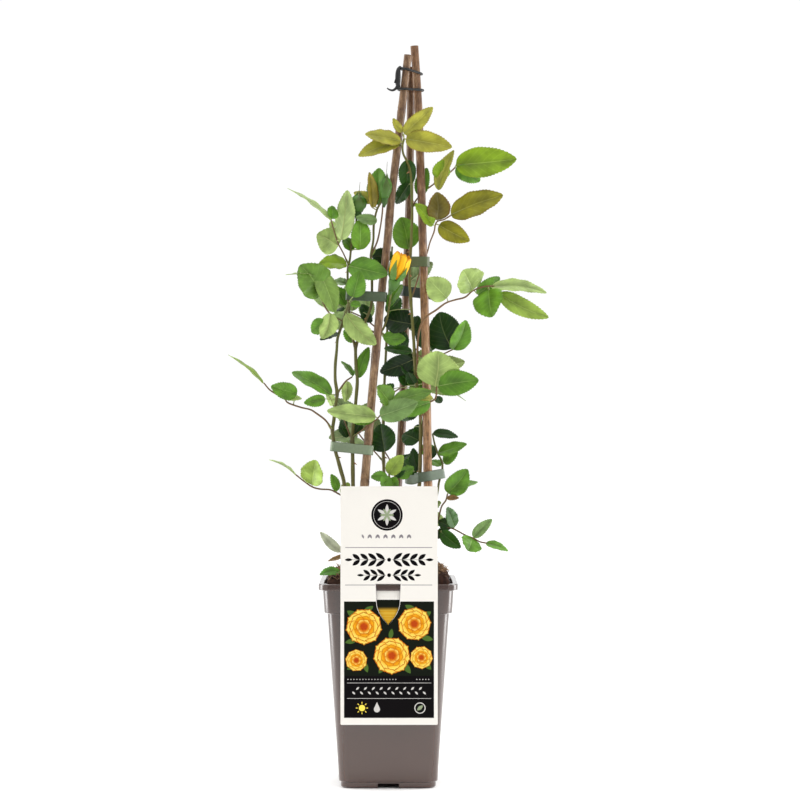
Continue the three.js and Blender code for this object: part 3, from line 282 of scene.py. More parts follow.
def startMaterial(name, finish):
    material = bpy.data.materials.new(name)
    material.use_nodes = True
    tree = material.node_tree
    shader = tree.nodes["Principled BSDF"]
    for socket, value in finish.items():
        shader.inputs[socket].default_value = value
    place = addNode(tree, "ShaderNodeTexCoord", {}).outputs["Object"]
    return material, tree, shader, place


# moulded polypropylene: taupe, darker towards the top as painted shade, fine grain, a soft gloss that draws
# pale lines down the corners
potPlastic = {
    "low": "#442a1f", "high": "#39231a", "roughness": 0.26, "coat": 0.9, "coatRoughness": 0.15,
    "mottle": 18 * mm, "grain": 1.4 * mm, "grainDepth": 0.004 * mm,
}


def makePotPlastic():
    facts = potPlastic
    material, tree, shader, place = startMaterial("moulded polypropylene, taupe", {
        "Roughness": facts["roughness"], "IOR": 1.49,
        "Coat Weight": facts["coat"], "Coat Roughness": facts["coatRoughness"]})
    height = addNode(tree, "ShaderNodeSeparateXYZ", {0: place}).outputs["Z"]
    # darker from the foot up to 200 mm: painted shade
    base = addMix(tree, addRange(tree, height, 0, 0.2), toLinear(facts["low"]), toLinear(facts["high"]))
    colour = darker(tree, base, addClouds(tree, place, facts["mottle"], 4), 0.12)
    tree.links.new(colour, shader.inputs["Base Color"])
    raised(tree, shader, addClouds(tree, place, facts["grain"], 3), facts["grainDepth"])
    return material


# a rose leaf: waxy and dark above with a thin pale midrib, faint side veins and a fine net;
# matt and paler beneath
leafFinish = {
    "veins": 7, "slant": 0.3, "cell": 1.1 * mm, "mottle": 7 * mm, "patch": 16 * mm, "veinColour": "#d9dc9c",
}


def makeLeafSkin(name, roughness, paler, ribShare, veinShare, depth):
    facts = leafFinish
    material, tree, shader, place = startMaterial(
        name, {"Roughness": roughness, "IOR": 1.42, "Specular IOR Level": 0.35})
    where = addNode(tree, "ShaderNodeUVMap", {"uv_map": "place"}).outputs["UV"]
    parts = addNode(tree, "ShaderNodeSeparateXYZ", {0: where})
    fromRib = addMaths(tree, "ABSOLUTE", parts.outputs["X"])
    slanted = addMaths(tree, "MULTIPLY_ADD", fromRib, -facts["slant"], parts.outputs["Y"])
    apart = addMaths(tree, "PINGPONG", addMaths(tree, "MULTIPLY", slanted, facts["veins"]), 0.5)
    side = addRange(tree, apart, 0.01, 0.11, veinShare, 0, "SMOOTHSTEP")
    rib = addRange(tree, fromRib, 0.012, 0.05, ribShare, 0, "SMOOTHSTEP")
    veins = addMaths(tree, "MAXIMUM", side, rib)
    net = addNode(tree, "ShaderNodeTexVoronoi", {
        "feature": "DISTANCE_TO_EDGE", "Scale": 1 / facts["cell"], "Vector": place})
    netLine = addRange(tree, net.outputs["Distance"], 0, 0.14, 1, 0)
    patches = addRange(tree, addClouds(tree, place, facts["patch"], 2), 0.42, 0.66)
    colour = darker(tree, meshTint(tree), addClouds(tree, place, facts["mottle"], 6), 0.34)
    colour = darker(tree, darker(tree, colour, patches, 0.3), netLine, 0.08)
    yellowed = addMix(tree, 0.12, scaled(tree, colour, paler), toLinear(facts["veinColour"]))
    tree.links.new(addMix(tree, veins, colour, yellowed), shader.inputs["Base Color"])
    raised(tree, shader, addMaths(tree, "MULTIPLY_ADD", netLine, 0.12, veins), -depth, 0.8)
    return material


def makeBark(name, roughness, grain, depth, dark):  # fibres drawn out along the stem, darker in the hollows: painted shade
    material, tree, shader, place = startMaterial(name, {"Roughness": roughness, "IOR": 1.45})
    streak = addClouds(tree, addStretch(tree, place, (1, 1, 0.25)), grain, 6, 0.65)
    tree.links.new(darker(tree, meshTint(tree), streak, dark), shader.inputs["Base Color"])
    raised(tree, shader, streak, depth)
    return material


# dry bamboo stained red-brown: satin skin that keeps a pale streak of light,
# fine fibres and blotches of dark stain
bambooFinish = {
    "roughness": 0.36, "fibre": 0.8 * mm, "fibreDepth": 0.1 * mm, "blotch": 3.6 * mm,
    "stain": "#3f1f10", "worn": "#c7ab8c",
}


def makeBamboo():
    facts = bambooFinish
    material, tree, shader, place = startMaterial(
        "dry bamboo, satin skin", {"Roughness": facts["roughness"], "IOR": 1.5})
    fibre = addClouds(tree, addStretch(tree, place, (1, 1, 0.04)), facts["fibre"], 4, 0.6)
    blotch = addClouds(tree, addStretch(tree, place, (1, 1, 0.3)), facts["blotch"], 8, 0.75)
    soaked = addRange(tree, blotch, 0.46, 0.66, 0, 0.9)
    rubbed = addRange(tree, blotch, 0.46, 0.3, 0, 0.6)
    stained = addMix(tree, soaked, meshTint(tree), toLinear(facts["stain"]))
    worn = addMix(tree, rubbed, stained, toLinear(facts["worn"]))
    colour = darker(tree, worn, addRange(tree, fibre, 0.35, 0.65), 0.35)
    tree.links.new(colour, shader.inputs["Base Color"])
    raised(tree, shader, fibre, facts["fibreDepth"])
    return material


def makePlain(name, colour, roughness, grain, depth, dark=0.15, ior=1.49, stretch=(1, 1, 1), specular=0.5):
    material, tree, shader, place = startMaterial(
        name, {"Roughness": roughness, "IOR": ior, "Specular IOR Level": specular})
    clouds = addClouds(tree, addStretch(tree, place, stretch), grain, 5)
    if colour == "tint":
        base = meshTint(tree)
    else:
        base = addNode(tree, "ShaderNodeRGB", {}).outputs[0]
        base.default_value = toLinear(colour)
    tree.links.new(darker(tree, base, clouds, dark), shader.inputs["Base Color"])
    raised(tree, shader, clouds, depth)
    return material


potSkin = makePotPlastic()
leafTop = makeLeafSkin("rose leaf, waxy upper face", 0.4, 1.7, 0.75, 0.2, 0.14 * mm)
leafUnder = makeLeafSkin("rose leaf, matt underside", 0.6, 1.5, 0.8, 0.35, 0.2 * mm)
# young stems: smooth, a soft sheen, faint lengthwise streaks
youngBark = makeBark("green rose stem, smooth bark", 0.5, 2.5 * mm, 0.12 * mm, 0.4)
# old root stock: dull and deeply cracked
oldBark = makeBark("rose root stock, rough bark", 0.85, 3 * mm, 1.2 * mm, 0.6)
bambooSkin = makeBamboo()
# soft black coating: dull sheen along the wire
tieRubber = makePlain("soft-coated tie wire, black", "#0b0b0b", 0.5, 1.5 * mm, 0.1 * mm)
# flexible vinyl band: satin face that goes pale where the light grazes it
strapVinyl = makePlain("soft vinyl plant tie, satin green", "tint", 0.38, 3 * mm, 0.05 * mm, 0.3, 1.53)
# dry, open compost: no shine, deep gaps
soilCrumb = makePlain("peat and bark potting mix, matt", "tint", 0.95, 1.6 * mm, 0.8 * mm, 0.6, 1.4)
# smooth sheet with a faint waxy gloss, warm off-white
labelSheet = makePlain("printed polypropylene sheet, white", "#e7e3dc", 0.36, 30 * mm, 0.01 * mm, 0.03)
# petals: velvety, glowing yellow with fine lengthwise creases
petalSkin = makePlain("rose petal, velvety", "tint", 0.6, 1.2 * mm, 0.06 * mm, 0.1, 1.4, (1, 1, 0.2), 0.3)
print("materials made")


pot = {
    "height": 222, "rimHalf": 75, "rimDrop": 7, "collarTop": 70.5, "collarLow": 69, "collarBottom": 190,
    "bodyTop": 65.75, "bodyLow": 53.5, "bodyBottom": 7.5, "footHalf": 51.5, "wall": 1.6,
    "drainHalf": 11.5, "drainHeight": 5.5, "pad": 20, "sharpFrom": 24,
    "labelSlot": (-15, 15, -73.3, -70.9, 212, 230),
}


def roundedSquare(half, corner, z, perCorner=10, perSide=6):
    inset = half - corner
    ring = []
    quarters = ((1, 1), (-1, 1), (-1, -1), (1, -1))
    for quarter, (sx, sy) in enumerate(quarters):
        for step in range(perCorner + 1):
            turn = (quarter + step / perCorner) * math.pi / 2
            x, y = sx * inset + math.cos(turn) * corner, sy * inset + math.sin(turn) * corner
            ring.append(Vector((x, y, z)) * mm)
        last = ring[-1]
        nx, ny = quarters[(quarter + 1) % 4]
        turn = (quarter + 1) * math.pi / 2
        x, y = nx * inset + math.cos(turn) * corner, ny * inset + math.sin(turn) * corner
        following = Vector((x, y, z)) * mm
        for step in range(1, perSide):
            ring.append(last.lerp(following, step / perSide))
    return ring


def makePot():
    height, rim, foot, wall = [pot[k] for k in ("height", "rimHalf", "footHalf", "wall")]
    collarTop, collarLow, collarFoot = [pot[k] for k in ("collarTop", "collarLow", "collarBottom")]
    bodyTop, bodyLow, bodyFoot = [pot[k] for k in ("bodyTop", "bodyLow", "bodyBottom")]
    underRim = height - pot["rimDrop"]
    profile = [  # height, half width and corner radius: up the outside, over the rim and down the inside
        (0, foot - 2.4, 10), (0.5, foot - 1.2, 10.6), (1.6, foot - 0.2, 11.4), (2.4, foot, 11.5),
        (bodyFoot - 1.2, foot, 11.5), (bodyFoot - 0.7, foot + 0.3, 11.6),
        (bodyFoot - 0.1, bodyLow - 0.4, 11.9), (bodyFoot + 0.7, bodyLow, 12),
    ]
    bodySteps = 14
    for step in range(1, bodySteps):
        share = step / bodySteps
        z = bodyFoot + (collarFoot - bodyFoot) * share
        profile.append((z, bodyLow + (bodyTop - bodyLow) * share, 12 + 2 * share))
    profile += [
        (collarFoot - 1, bodyTop, 14), (collarFoot - 0.3, bodyTop + 0.4, 14),
        (collarFoot, collarLow - 0.8, 14), (collarFoot + 0.5, collarLow - 0.1, 14),
        (collarFoot + 1.2, collarLow, 14), (collarFoot + 12, collarLow + 0.75, 14),
        (underRim - 0.6, collarTop, 14), (underRim - 0.1, collarTop + 0.5, 14),
        (underRim, rim - 0.9, 14), (underRim + 0.3, rim - 0.3, 14),
        (underRim + 0.9, rim, 14), (height - 1.1, rim, 14), (height - 0.35, rim - 0.3, 13.9),
        (height, rim - 1, 13.6), (height, collarTop - 0.8, 12.9), (height - 0.4, collarTop - 1.3, 12.8),
        (height - 1.2, collarTop - wall, 12.8), (collarFoot + 1.5, collarLow - wall, 12.6),
        (collarFoot - 2, bodyTop - wall, 12.4), (bodyFoot + 2, bodyLow - wall, 11),
        (bodyFoot, foot - wall, 10.2), (wall + 0.1, foot - 2, 10),
    ]
    rings = [roundedSquare(half, corner, z) for z, half, corner in profile]
    skin = newSkin()
    addRings(skin, rings, [white] * len(rings))
    shell = makePiece("square_pot", skin, [potSkin])
    boxes = []  # drain channels under the floor and the slot that the label passes through
    for turn in range(4):
        boxes.append((Matrix.Rotation(turn * math.pi / 2, 3, "Z"),
                      (pot["pad"], 90, -pot["drainHalf"], pot["drainHalf"], -3, pot["drainHeight"])))
    boxes.append((Matrix.Identity(3), pot["labelSlot"]))
    cutter = newSkin()
    for spin, (x0, x1, y0, y1, z0, z1) in boxes:
        low = [spin @ Vector((x, y, z0)) * mm for x, y in ((x0, y0), (x1, y0), (x1, y1), (x0, y1))]
        high = [point + up * (z1 - z0) * mm for point in low]
        addRings(cutter, [low, high], [white] * 2)
    tool = makePiece("cutter", cutter, [potSkin], smooth=False)
    cut = shell.modifiers.new("cut", "BOOLEAN")
    cut.operation, cut.solver, cut.object = "DIFFERENCE", "EXACT", tool
    bpy.context.view_layer.update()
    finished = bpy.data.meshes.new_from_object(shell.evaluated_get(bpy.context.evaluated_depsgraph_get()))
    shell.modifiers.clear()
    finished.set_sharp_from_angle(angle=math.radians(pot["sharpFrom"]))
    shell.data = finished
    bpy.data.objects.remove(tool)
    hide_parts("pot")


makePot()
print("pot made")


canes = {
    "left": {
        "foot": 4.9, "head": 4.3, "dark": 0.35, "darkFrom": 320, "nodes": [92, 232, 372, 520, 640],
        "skin": ["#8c6a4a", "#a3825e"],
        "path": [(-45, -35, 100), (-33, -30, 224), (-25.5, -25.5, 332), (-21, -23, 387), (-18, -21.5, 425),
                 (-12.5, -19, 485), (-8.5, -17, 528.5), (-2, -14.5, 583.5), (3, -12, 638.5),
                 (9.5, -9.5, 693.5), (14.5, -7, 737.5), (21.5, -6.5, 798)],
    },
    "right": {
        "foot": 5.1, "head": 4.4, "dark": 0.5, "darkFrom": 400, "nodes": [70, 205, 350, 470, 600],
        "skin": ["#a07046", "#b38a60"],
        "path": [(50, -16.5, 100), (46.5, -15, 222.5), (43, -11.5, 342.5), (42.5, -10.5, 386.5),
                 (41, -8, 474), (39.5, -6, 529), (38, -4.5, 584), (36.5, -3, 639), (34.5, -1.5, 694),
                 (33, 0, 738.5), (28.5, 3, 809)],
    },
    # the back cane stands in the plant's shadow: its darker skin colours and its darkening from low down are
    # painted shade
    "back": {
        "foot": 4.8, "head": 4.2, "dark": 0.3, "darkFrom": 80, "nodes": [80, 230, 360, 505, 620],
        "skin": ["#6a4a2c", "#8a6640"],
        "path": [(2, 47, 100), (7, 42, 224), (10.5, 36, 330), (14, 33, 375), (19, 25, 519), (21, 21, 585.5),
                 (23, 18, 641), (24, 14.5, 695.5), (24.5, 11.5, 750.5), (24.5, 9.5, 787)],
    },
}
caneDetail = {"sides": 16, "swell": 0.4, "pinch": 0.3, "groove": 0.05, "stain": "#4a2a1c", "pith": "#c9ab7c"}


def makeCane(name, cane):
    path = smoothPath(cane["path"], 1.6 * mm)
    length = pathLength(path)
    frames = carriedFrames(path)
    pale, grey = [toLinear(c) for c in cane["skin"]]
    brown, pith = toLinear(caneDetail["stain"]), toLinear(caneDetail["pith"])
    sides = caneDetail["sides"]
    skin = newSkin()
    rings, tints = [], []
    for i, (point, (_, across, other)) in enumerate(zip(path, frames)):
        at = length * i / (len(path) - 1)
        share = i / (len(path) - 1)
        near = min(cane["nodes"], key=lambda n: abs(n - at))
        gone = at - near
        swell = caneDetail["swell"] * math.exp(-((gone / 7) ** 2))
        swell -= caneDetail["pinch"] * math.exp(-(((gone - 1.2) / 0.9) ** 2))
        radius = cane["foot"] + (cane["head"] - cane["foot"]) * share + swell
        ring = []
        for j in range(sides):
            turn = math.tau * j / sides
            # a shallow groove, on another side past each node
            flat = 1 - caneDetail["groove"] * max(0, math.cos(turn - near)) ** 3
            ring.append(point + (across * math.cos(turn) + other * math.sin(turn)) * radius * flat * mm)
        rings.append(ring)
        drift = 0.5 + 0.5 * noise.noise(Vector((at * 0.011, near, len(name))))
        colour = blendColours(pale, grey, drift)
        ringShade = math.exp(-(((gone - 1.2) / 1.6) ** 2)) + 0.35 * math.exp(-(((gone + 4) / 6) ** 2))
        # each cane is darker above its darkFrom height; on the back cane this darkening is painted shade
        upperDarkening = cane["dark"] * smoothStep(cane["darkFrom"], cane["darkFrom"] + 90, at)
        tints.append(blendColours(blendColours(colour, brown, upperDarkening), brown, min(0.5, 0.5 * ringShade)))
    addRings(skin, rings, tints, capped=False)
    tangent, across, other = frames[-1]
    last = len(skin["points"]) - sides
    cutRings = [  # the sawn top: a thin wall with a pale pith face round a hollow, whose dark brown is painted shade
        (cane["head"] - 0.25, 0.3, pith), (cane["head"] - 1.1, 0.3, pith),
        (cane["head"] - 1.4, -2.4, brown), (0.4, -2.8, brown),
    ]
    for radius, rise, colour in cutRings:
        start = len(skin["points"])
        spot = path[-1] + tangent * (rise - 0.3) * mm
        for j in range(sides):
            turn = math.tau * j / sides
            out = across * math.cos(turn) + other * math.sin(turn)
            addPoint(skin, spot + out * radius * mm, colour, (j / sides, 1))
        for j in range(sides):
            k = (j + 1) % sides
            addFace(skin, (last + j, last + k, start + k, start + j))
        last = start
    addFace(skin, [last + j for j in range(sides)])
    addFace(skin, list(range(sides))[::-1])
    piece = makePiece("tonkin_cane_" + name, skin, [bambooSkin])
    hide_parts("bamboo_cane_" + name)


for caneName, caneFacts in canes.items():
    makeCane(caneName, caneFacts)
print("canes made")


def pointAtHeight(path, z):
    for a, b in zip(path, path[1:]):
        if b[2] >= z:
            return Vector(a).lerp(Vector(b), (z - a[2]) / (b[2] - a[2]))


def tightRound(discs, clearance, count):  # the outline of a band pulled tight round discs (x, y, radius)
    outline = []
    for i in range(count):
        turn = math.tau * i / count
        cx, cy = math.cos(turn), math.sin(turn)
        x, y, r = max(discs, key=lambda d: d[0] * cx + d[1] * cy + d[2])
        outline.append((x + cx * (r + clearance), y + cy * (r + clearance)))
    return outline


tie = {
    "gap": 0.3, "wire": 1.4, "middle": 23, "caneSwell": 0.25, "steps": 72, "sides": 8,
    "loops": [(781, 0.22), (760, 0)],  # height, and fall towards the right
    "knot": [  # path, radius, swelling in the middle, loss of radius to the end, sides
        ([(13.2, -8, 784.5), (11, -10, 781), (10.4, -10.5, 772), (10.6, -10.5, 763), (12, -11.2, 759.5)],
         1.8, 1.3, 0, 12),
        ([(10.8, -10, 766), (8.5, -11, 761), (4.5, -11.5, 758.5), (0.5, -11.5, 759.5), (-1.5, -11.5, 761)],
         2.1, 0, 1.4, 10),
        ([(10.4, -11, 776), (8.5, -12, 771), (6.8, -12, 766.5)], 1.5, 0, 0.6, 8),
    ],
}


def makeTie():
    skin = newSkin()
    sides = tie["sides"]
    for height, slope in tie["loops"]:
        discs = []
        for cane in canes.values():
            p = pointAtHeight(cane["path"], height)
            discs.append((p.x, p.y, cane["head"] + tie["caneSwell"]))
        outline = tightRound(discs, tie["gap"] + tie["wire"], tie["steps"])
        spots = [Vector((x, y, height - slope * (x - tie["middle"]))) * mm for x, y in outline]
        count = len(spots)
        centre = sum(spots, Vector()) / count
        first = len(skin["points"])
        for i, spot in enumerate(spots):
            alongLoop = (spots[(i + 1) % count] - spots[i - 1]).normalized()
            out = spot - centre
            out = (out - alongLoop * out.dot(alongLoop)).normalized()
            rise = alongLoop.cross(out)
            for j in range(sides):
                turn = math.tau * j / sides
                away = out * math.cos(turn) + rise * math.sin(turn)
                addPoint(skin, spot + away * tie["wire"] * mm, white)
        joinSections(skin, first, count, sides)
    for points, start, swell, loss, around in tie["knot"]:
        addTube(skin, smoothPath(points, 0.8 * mm),
                lambda s: (start + swell * math.sin(math.pi * s) - loss * s) * mm, around, lambda s: white)
    piece = makePiece("wire_tie", skin, [tieRubber])
    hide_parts("cane_top_tie")


makeTie()

straps = {
    "low_left": {
        "discs": [(-58.8, -24, 3.4), (-39.2, -23.8, 2.5), (-23, -24, 5.6)], "centre": (-39, -24, 366.5),
        "width": 10.5, "rise": -0.1, "colours": ["#8a9a7c", "#56664a"]},
    "mid_left": {
        "discs": [(-43.5, -11.5, 2.3), (-18.6, -13, 2.3), (-8.2, -16.8, 5.6)], "centre": (-25, -14, 533),
        "width": 10.5, "rise": -0.06, "colours": ["#4a5a40", "#3d4b36"]},
    "high_right": {
        "discs": [(23.6, -7.8, 3.1), (38.4, -4.8, 5.6)], "centre": (31, -5, 571),
        "width": 11, "rise": 0, "colours": ["#566038", "#44532e"]},
    "back": {
        # behind the plant: its near-black green is painted shade
        "discs": [(19.8, 24.3, 5.4), (48, 22, 3.4)], "centre": (34, 23, 538),
        "width": 11, "rise": -0.12, "colours": ["#2c3a33", "#26332d"]},
    "low_right": {
        "discs": [(33.6, -8.7, 3.6), (43.2, -11.7, 5.8), (57.3, -4.6, 3.4)], "centre": (44, -9, 336),
        "width": 10.5, "rise": 0.16, "colours": ["#748270", "#4d5c4c"],
        "tail": [(33, -13.2, 334), (29, -15.2, 332.5), (25, -16, 332), (21, -15, 332.5),
                 (18.5, -12.5, 333.5)]},
}
strapBand = {"gap": 0.35, "thickness": 1, "steps": 96}


def makeStrap(name, strap):
    skin = newSkin()
    count = strapBand["steps"]
    half = strap["width"] / 2
    profile = [  # up the band and through its thickness: rounded beads along both edges
        (-half + 0.3, 0), (-half, 0.3), (-half, 0.7), (-half + 0.3, 1), (-half + 1.1, 0.86), (0, 0.84),
        (half - 1.1, 0.86), (half - 0.3, 1), (half, 0.7), (half, 0.3), (half - 0.3, 0),
    ]
    centre = Vector(strap["centre"])
    tilt = Matrix.Rotation(-math.atan(strap["rise"]), 3, "Y")
    light, dark = [toLinear(c) for c in strap["colours"]]
    inner = tightRound(strap["discs"], strapBand["gap"], count)
    outer = tightRound(strap["discs"], strapBand["gap"] + strapBand["thickness"], count)
    for i in range(count):
        shade = 0.5 + 0.5 * noise.noise(Vector((inner[i][0] * 0.12, inner[i][1] * 0.3, half)))
        for height, depth in profile:
            x = inner[i][0] + (outer[i][0] - inner[i][0]) * depth
            y = inner[i][1] + (outer[i][1] - inner[i][1]) * depth
            local = Vector((x - centre.x, y - centre.y, height))
            # painted shade along the lower edge and on the inner face against the canes
            paintedShade = 0.55 if height < 0.6 - half or depth < 0.2 else 0
            tint = blendColours(light, dark, min(1, 0.7 * shade + paintedShade))
            addPoint(skin, (tilt @ local + centre) * mm, tint, (i / count, height))
    joinSections(skin, 0, count, len(profile))
    if "tail" in strap:  # the free end, curling away from the loop
        path = smoothPath(strap["tail"], 1.2 * mm)
        rings = []
        for spot, (tangent, _, _) in zip(path, carriedFrames(path)):
            out = tangent.cross(up).normalized() * 0.5 * mm
            rings.append([spot + up * half * mm * rise + out * side for rise, side in
                          ((-1, -1), (-1, 1), (0, 1), (1, 1), (1, -1), (0, -1))])
        addRings(skin, rings, [light] * len(rings))
    piece = makePiece("vinyl_strap_" + name, skin, [strapVinyl])
    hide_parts("strap_" + name)


for strapName, strapFacts in straps.items():
    makeStrap(strapName, strapFacts)
print("tie and straps made")


soil = {
    "edge": 219, "peak": 233.5, "half": 68, "corner": 12, "heapRight": 4, "boxiness": 8, "grid": 110,
    "rimHeight": 214, "shoulderHeight": 196, "shoulderShrink": 0.95, "baseHalf": 44, "baseHeight": 2,
    "chips": 1100, "fibres": 900, "dark": "#1c0f09", "brown": "#4a2a18", "sliver": "#cda47a", "seed": 5,
}


def soilHeight(x, y):  # millimetres in and out
    reach = max(abs(x), abs(y)) / soil["half"]
    swell = soil["edge"] + (soil["peak"] - soil["edge"]) * (1 - min(1, reach) ** soil["boxiness"])
    swell += soil["heapRight"] * smoothStep(20, 50, x) * (1 - smoothStep(62, 68, x))
    lumps = 1.3 * noise.noise(Vector((x, y, 0)) * 0.12) + 0.9 * noise.noise(Vector((x, y, 7)) * 0.33)
    return swell + lumps + 0.5 * noise.noise(Vector((x, y, 3)) * 0.9)


def addSoilBlock(skin, dark, brown):  # the heaped top, and plain sides down to the pot's floor
    size, span, corner = soil["grid"], soil["half"], soil["corner"]
    for i in range(size + 1):
        for j in range(size + 1):
            x, y = span * (2 * i / size - 1), span * (2 * j / size - 1)
            cx, cy = abs(x) - (span - corner), abs(y) - (span - corner)
            if cx > 0 and cy > 0 and math.hypot(cx, cy) > corner:
                pull = corner / math.hypot(cx, cy)
                x = math.copysign(span - corner + cx * pull, x)
                y = math.copysign(span - corner + cy * pull, y)
            z = soil["rimHeight"] if i in (0, size) or j in (0, size) else soilHeight(x, y)
            shade = 0.5 + 0.5 * noise.noise(Vector((x, y, 1)) * 0.5)
            addPoint(skin, Vector((x, y, z)) * mm, blendColours(dark, brown, shade), (i / size, j / size))
    for i in range(size):
        for j in range(size):
            a = i * (size + 1) + j
            addFace(skin, (a, a + size + 1, a + size + 2, a + 1))
    foot = soil["baseHalf"]
    base = [addPoint(skin, Vector((sx * foot, sy * foot, soil["baseHeight"])) * mm, dark)
            for sx, sy in ((-1, -1), (1, -1), (1, 1), (-1, 1))]
    edges = [
        [k * (size + 1) for k in range(size + 1)], [size * (size + 1) + k for k in range(size + 1)],
        [(size - k) * (size + 1) + size for k in range(size + 1)], [size - k for k in range(size + 1)],
    ]
    lowered = {}
    for k in edges[0] + edges[1] + edges[2] + edges[3]:
        if k not in lowered:
            point = skin["points"][k]
            shrink = soil["shoulderShrink"]
            place = Vector((point.x * shrink, point.y * shrink, soil["shoulderHeight"] * mm))
            lowered[k] = addPoint(skin, place, dark)
    for side, row in enumerate(edges):
        low, lowNext = base[side], base[(side + 1) % 4]
        half = len(row) // 2
        for near, far in zip(row, row[1:]):
            addFace(skin, (far, near, lowered[near], lowered[far]))
            addFace(skin, (lowered[far], lowered[near], low if row.index(near) < half else lowNext))
        addFace(skin, (lowered[row[half]], low, lowNext))
    addFace(skin, base[::-1])


def addCrumb(skin, draw, fibre, dark, brown, sliver):  # a chip of bark or a thin fibre, lying where it fell
    span = soil["half"]
    x, y = [draw.uniform(-span + 4, span - 4) for _ in range(2)]
    length = draw.uniform(5, 13) if fibre else draw.uniform(2, 8)
    width = draw.uniform(0.35, 0.8) if fibre else draw.uniform(0.9, 2.8)
    thick = width * (1 if fibre else draw.uniform(0.3, 0.7))
    lean = draw.uniform(-1.0, 0.1) if fibre else draw.uniform(-0.6, 0.6)
    spin = Quaternion(up, draw.uniform(0, math.tau)) @ Quaternion(Vector((0, 1, 0)), lean)
    ground = dark if draw.random() < 0.4 else brown
    colour = blendColours(ground, sliver, draw.random() ** (1.4 if fibre else 2.4))
    at = Vector((x, y, soilHeight(x, y) + thick * 0.3 + max(0, -lean) * length * 0.2))
    rings = []
    for step in range(4):
        share = step / 3
        taper = 0.35 + 0.65 * math.sin(math.pi * (0.15 + 0.7 * share)) + draw.uniform(-0.1, 0.1)
        bend = 0.12 * length * math.sin(math.pi * share)
        ring = []
        for cy, cz in ((1, 0.2), (0.3, 1), (-0.8, 0.7), (-1, -0.4), (0.2, -1)):
            local = Vector((length * (share - 0.5), cy * width / 2 * taper, cz * thick / 2 * taper + bend))
            ring.append((at + spin @ local) * mm)
        rings.append(ring)
    addRings(skin, rings, [colour] * 4)


def makeSoil():
    draw = random.Random(soil["seed"])
    dark, brown, sliver = [toLinear(soil[k]) for k in ("dark", "brown", "sliver")]
    skin = newSkin()
    addSoilBlock(skin, dark, brown)
    for k in range(soil["chips"] + soil["fibres"]):
        addCrumb(skin, draw, k >= soil["chips"], dark, brown, sliver)
    piece = makePiece("compost", skin, [soilCrumb])
    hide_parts("potting_mix")


makeSoil()
print("potting mix made")


label = {
    "left": -51, "right": 53, "bottom": 72, "top": 327, "front": -76.05, "back": -75.4, "corner": 1.4,
    "tongueHalf": 13.5, "hinge": 222.8, "shoulder": 203, "tip": 178.5,
    "inkStep": 0.012, "paintStep": 0.0022, "sheetHalf": 0.25,
    # the bend from the card's face over the rim and down into the slot, then how far the tongue leans back
    "bend": [(-76.05, 222.8), (-75.9, 223.1), (-75.3, 223.35), (-74.2, 223.4), (-73.2, 223.3),
             (-72.55, 222.8), (-72.2, 221.6), (-72.15, 218), (-72.15, 213), (-72.7, 205.5)],
    # the tongue hangs behind the rim's lip: its gold and lemon are darker than the print's, as painted shade
    "tongueLean": 1.6, "tongueGoldInShade": "#c58d16", "tongueLemonInShade": "#cfa93c",
}
inks = {  # offset inks under a semi-gloss varnish: dense, with hardly any glare in the dark fields
    "black": "#080507", "grey": "#c9c6c2", "sage": "#8f9b7c", "night": "#10150d", "lemon": "#f8dd57",
    "leaf": "#49662a", "rule": "#8b868a",
}
inkSkins = {
    inkName: makePlain("printing ink, " + inkName, inkColour, 0.34, 20 * mm, 0.005 * mm, 0.03, specular=0.06)
    for inkName, inkColour in inks.items()
}
paintedInk = makePlain("printing ink, shaded", "tint", 0.34, 20 * mm, 0.005 * mm, 0.03, specular=0.06)


def tongueEdge(steps=14):  # from the hinge down round the tip and up again
    half, shoulder = label["tongueHalf"], label["shoulder"]
    left = [(-half, label["hinge"]), (-half + 0.6, 212), (-half + 1, shoulder)]
    for k in range(1, steps + 1):
        t = k / steps
        x = (1 - t) ** 2 * (-half + 1) + 2 * t * (1 - t) * (-half + 1.5)
        z = (1 - t) ** 2 * shoulder + 2 * t * (1 - t) * (shoulder - 12) + t * t * label["tip"]
        left.append((x, z))
    return left + [(-x, z) for x, z in reversed(left[:-1])]


def cardEdge():
    r = label["corner"]
    left, right, low, high = label["left"] + r, label["right"] - r, label["bottom"] + r, label["top"] - r
    edge = []
    for x, z, start in ((right, low, -90), (right, high, 0), (left, high, 90), (left, low, 180)):
        for k in range(7):
            turn = math.radians(start + 15 * k)
            edge.append((x + r * math.cos(turn), z + r * math.sin(turn)))
    return edge


def filledPlate(skin, outline, holes, front, back, finish):  # an upright flat plate with holes in it
    work = bmesh.new()
    loops = [[work.verts.new((x, 0, z)) for x, z in ring] for ring in [outline] + holes]
    edges = [work.edges.new((ring[k], ring[(k + 1) % len(ring)])) for ring in loops for k in range(len(ring))]
    bmesh.ops.triangle_fill(work, edges=edges, use_beauty=True, use_dissolve=False, normal=(0, -1, 0))
    work.verts.index_update()
    starts = []
    for depth in (front, back):
        starts.append(len(skin["points"]))
        for vert in work.verts:
            addPoint(skin, Vector((vert.co.x, depth, vert.co.z)) * mm, white)
    for face in work.faces:
        ids = [v.index for v in face.verts]
        flip = face.normal.y > 0
        addFace(skin, [starts[0] + i for i in (reversed(ids) if flip else ids)], finish)
        addFace(skin, [starts[1] + i for i in (ids if flip else reversed(ids))], finish)
    for edge in work.edges:
        if len(edge.link_faces) == 1:
            loop = edge.link_loops[0]
            a, b = loop.vert.index, loop.link_loop_next.vert.index
            if edge.link_faces[0].normal.y > 0:
                a, b = b, a
            addFace(skin, (starts[0] + b, starts[0] + a, starts[1] + a, starts[1] + b), finish)
    work.free()


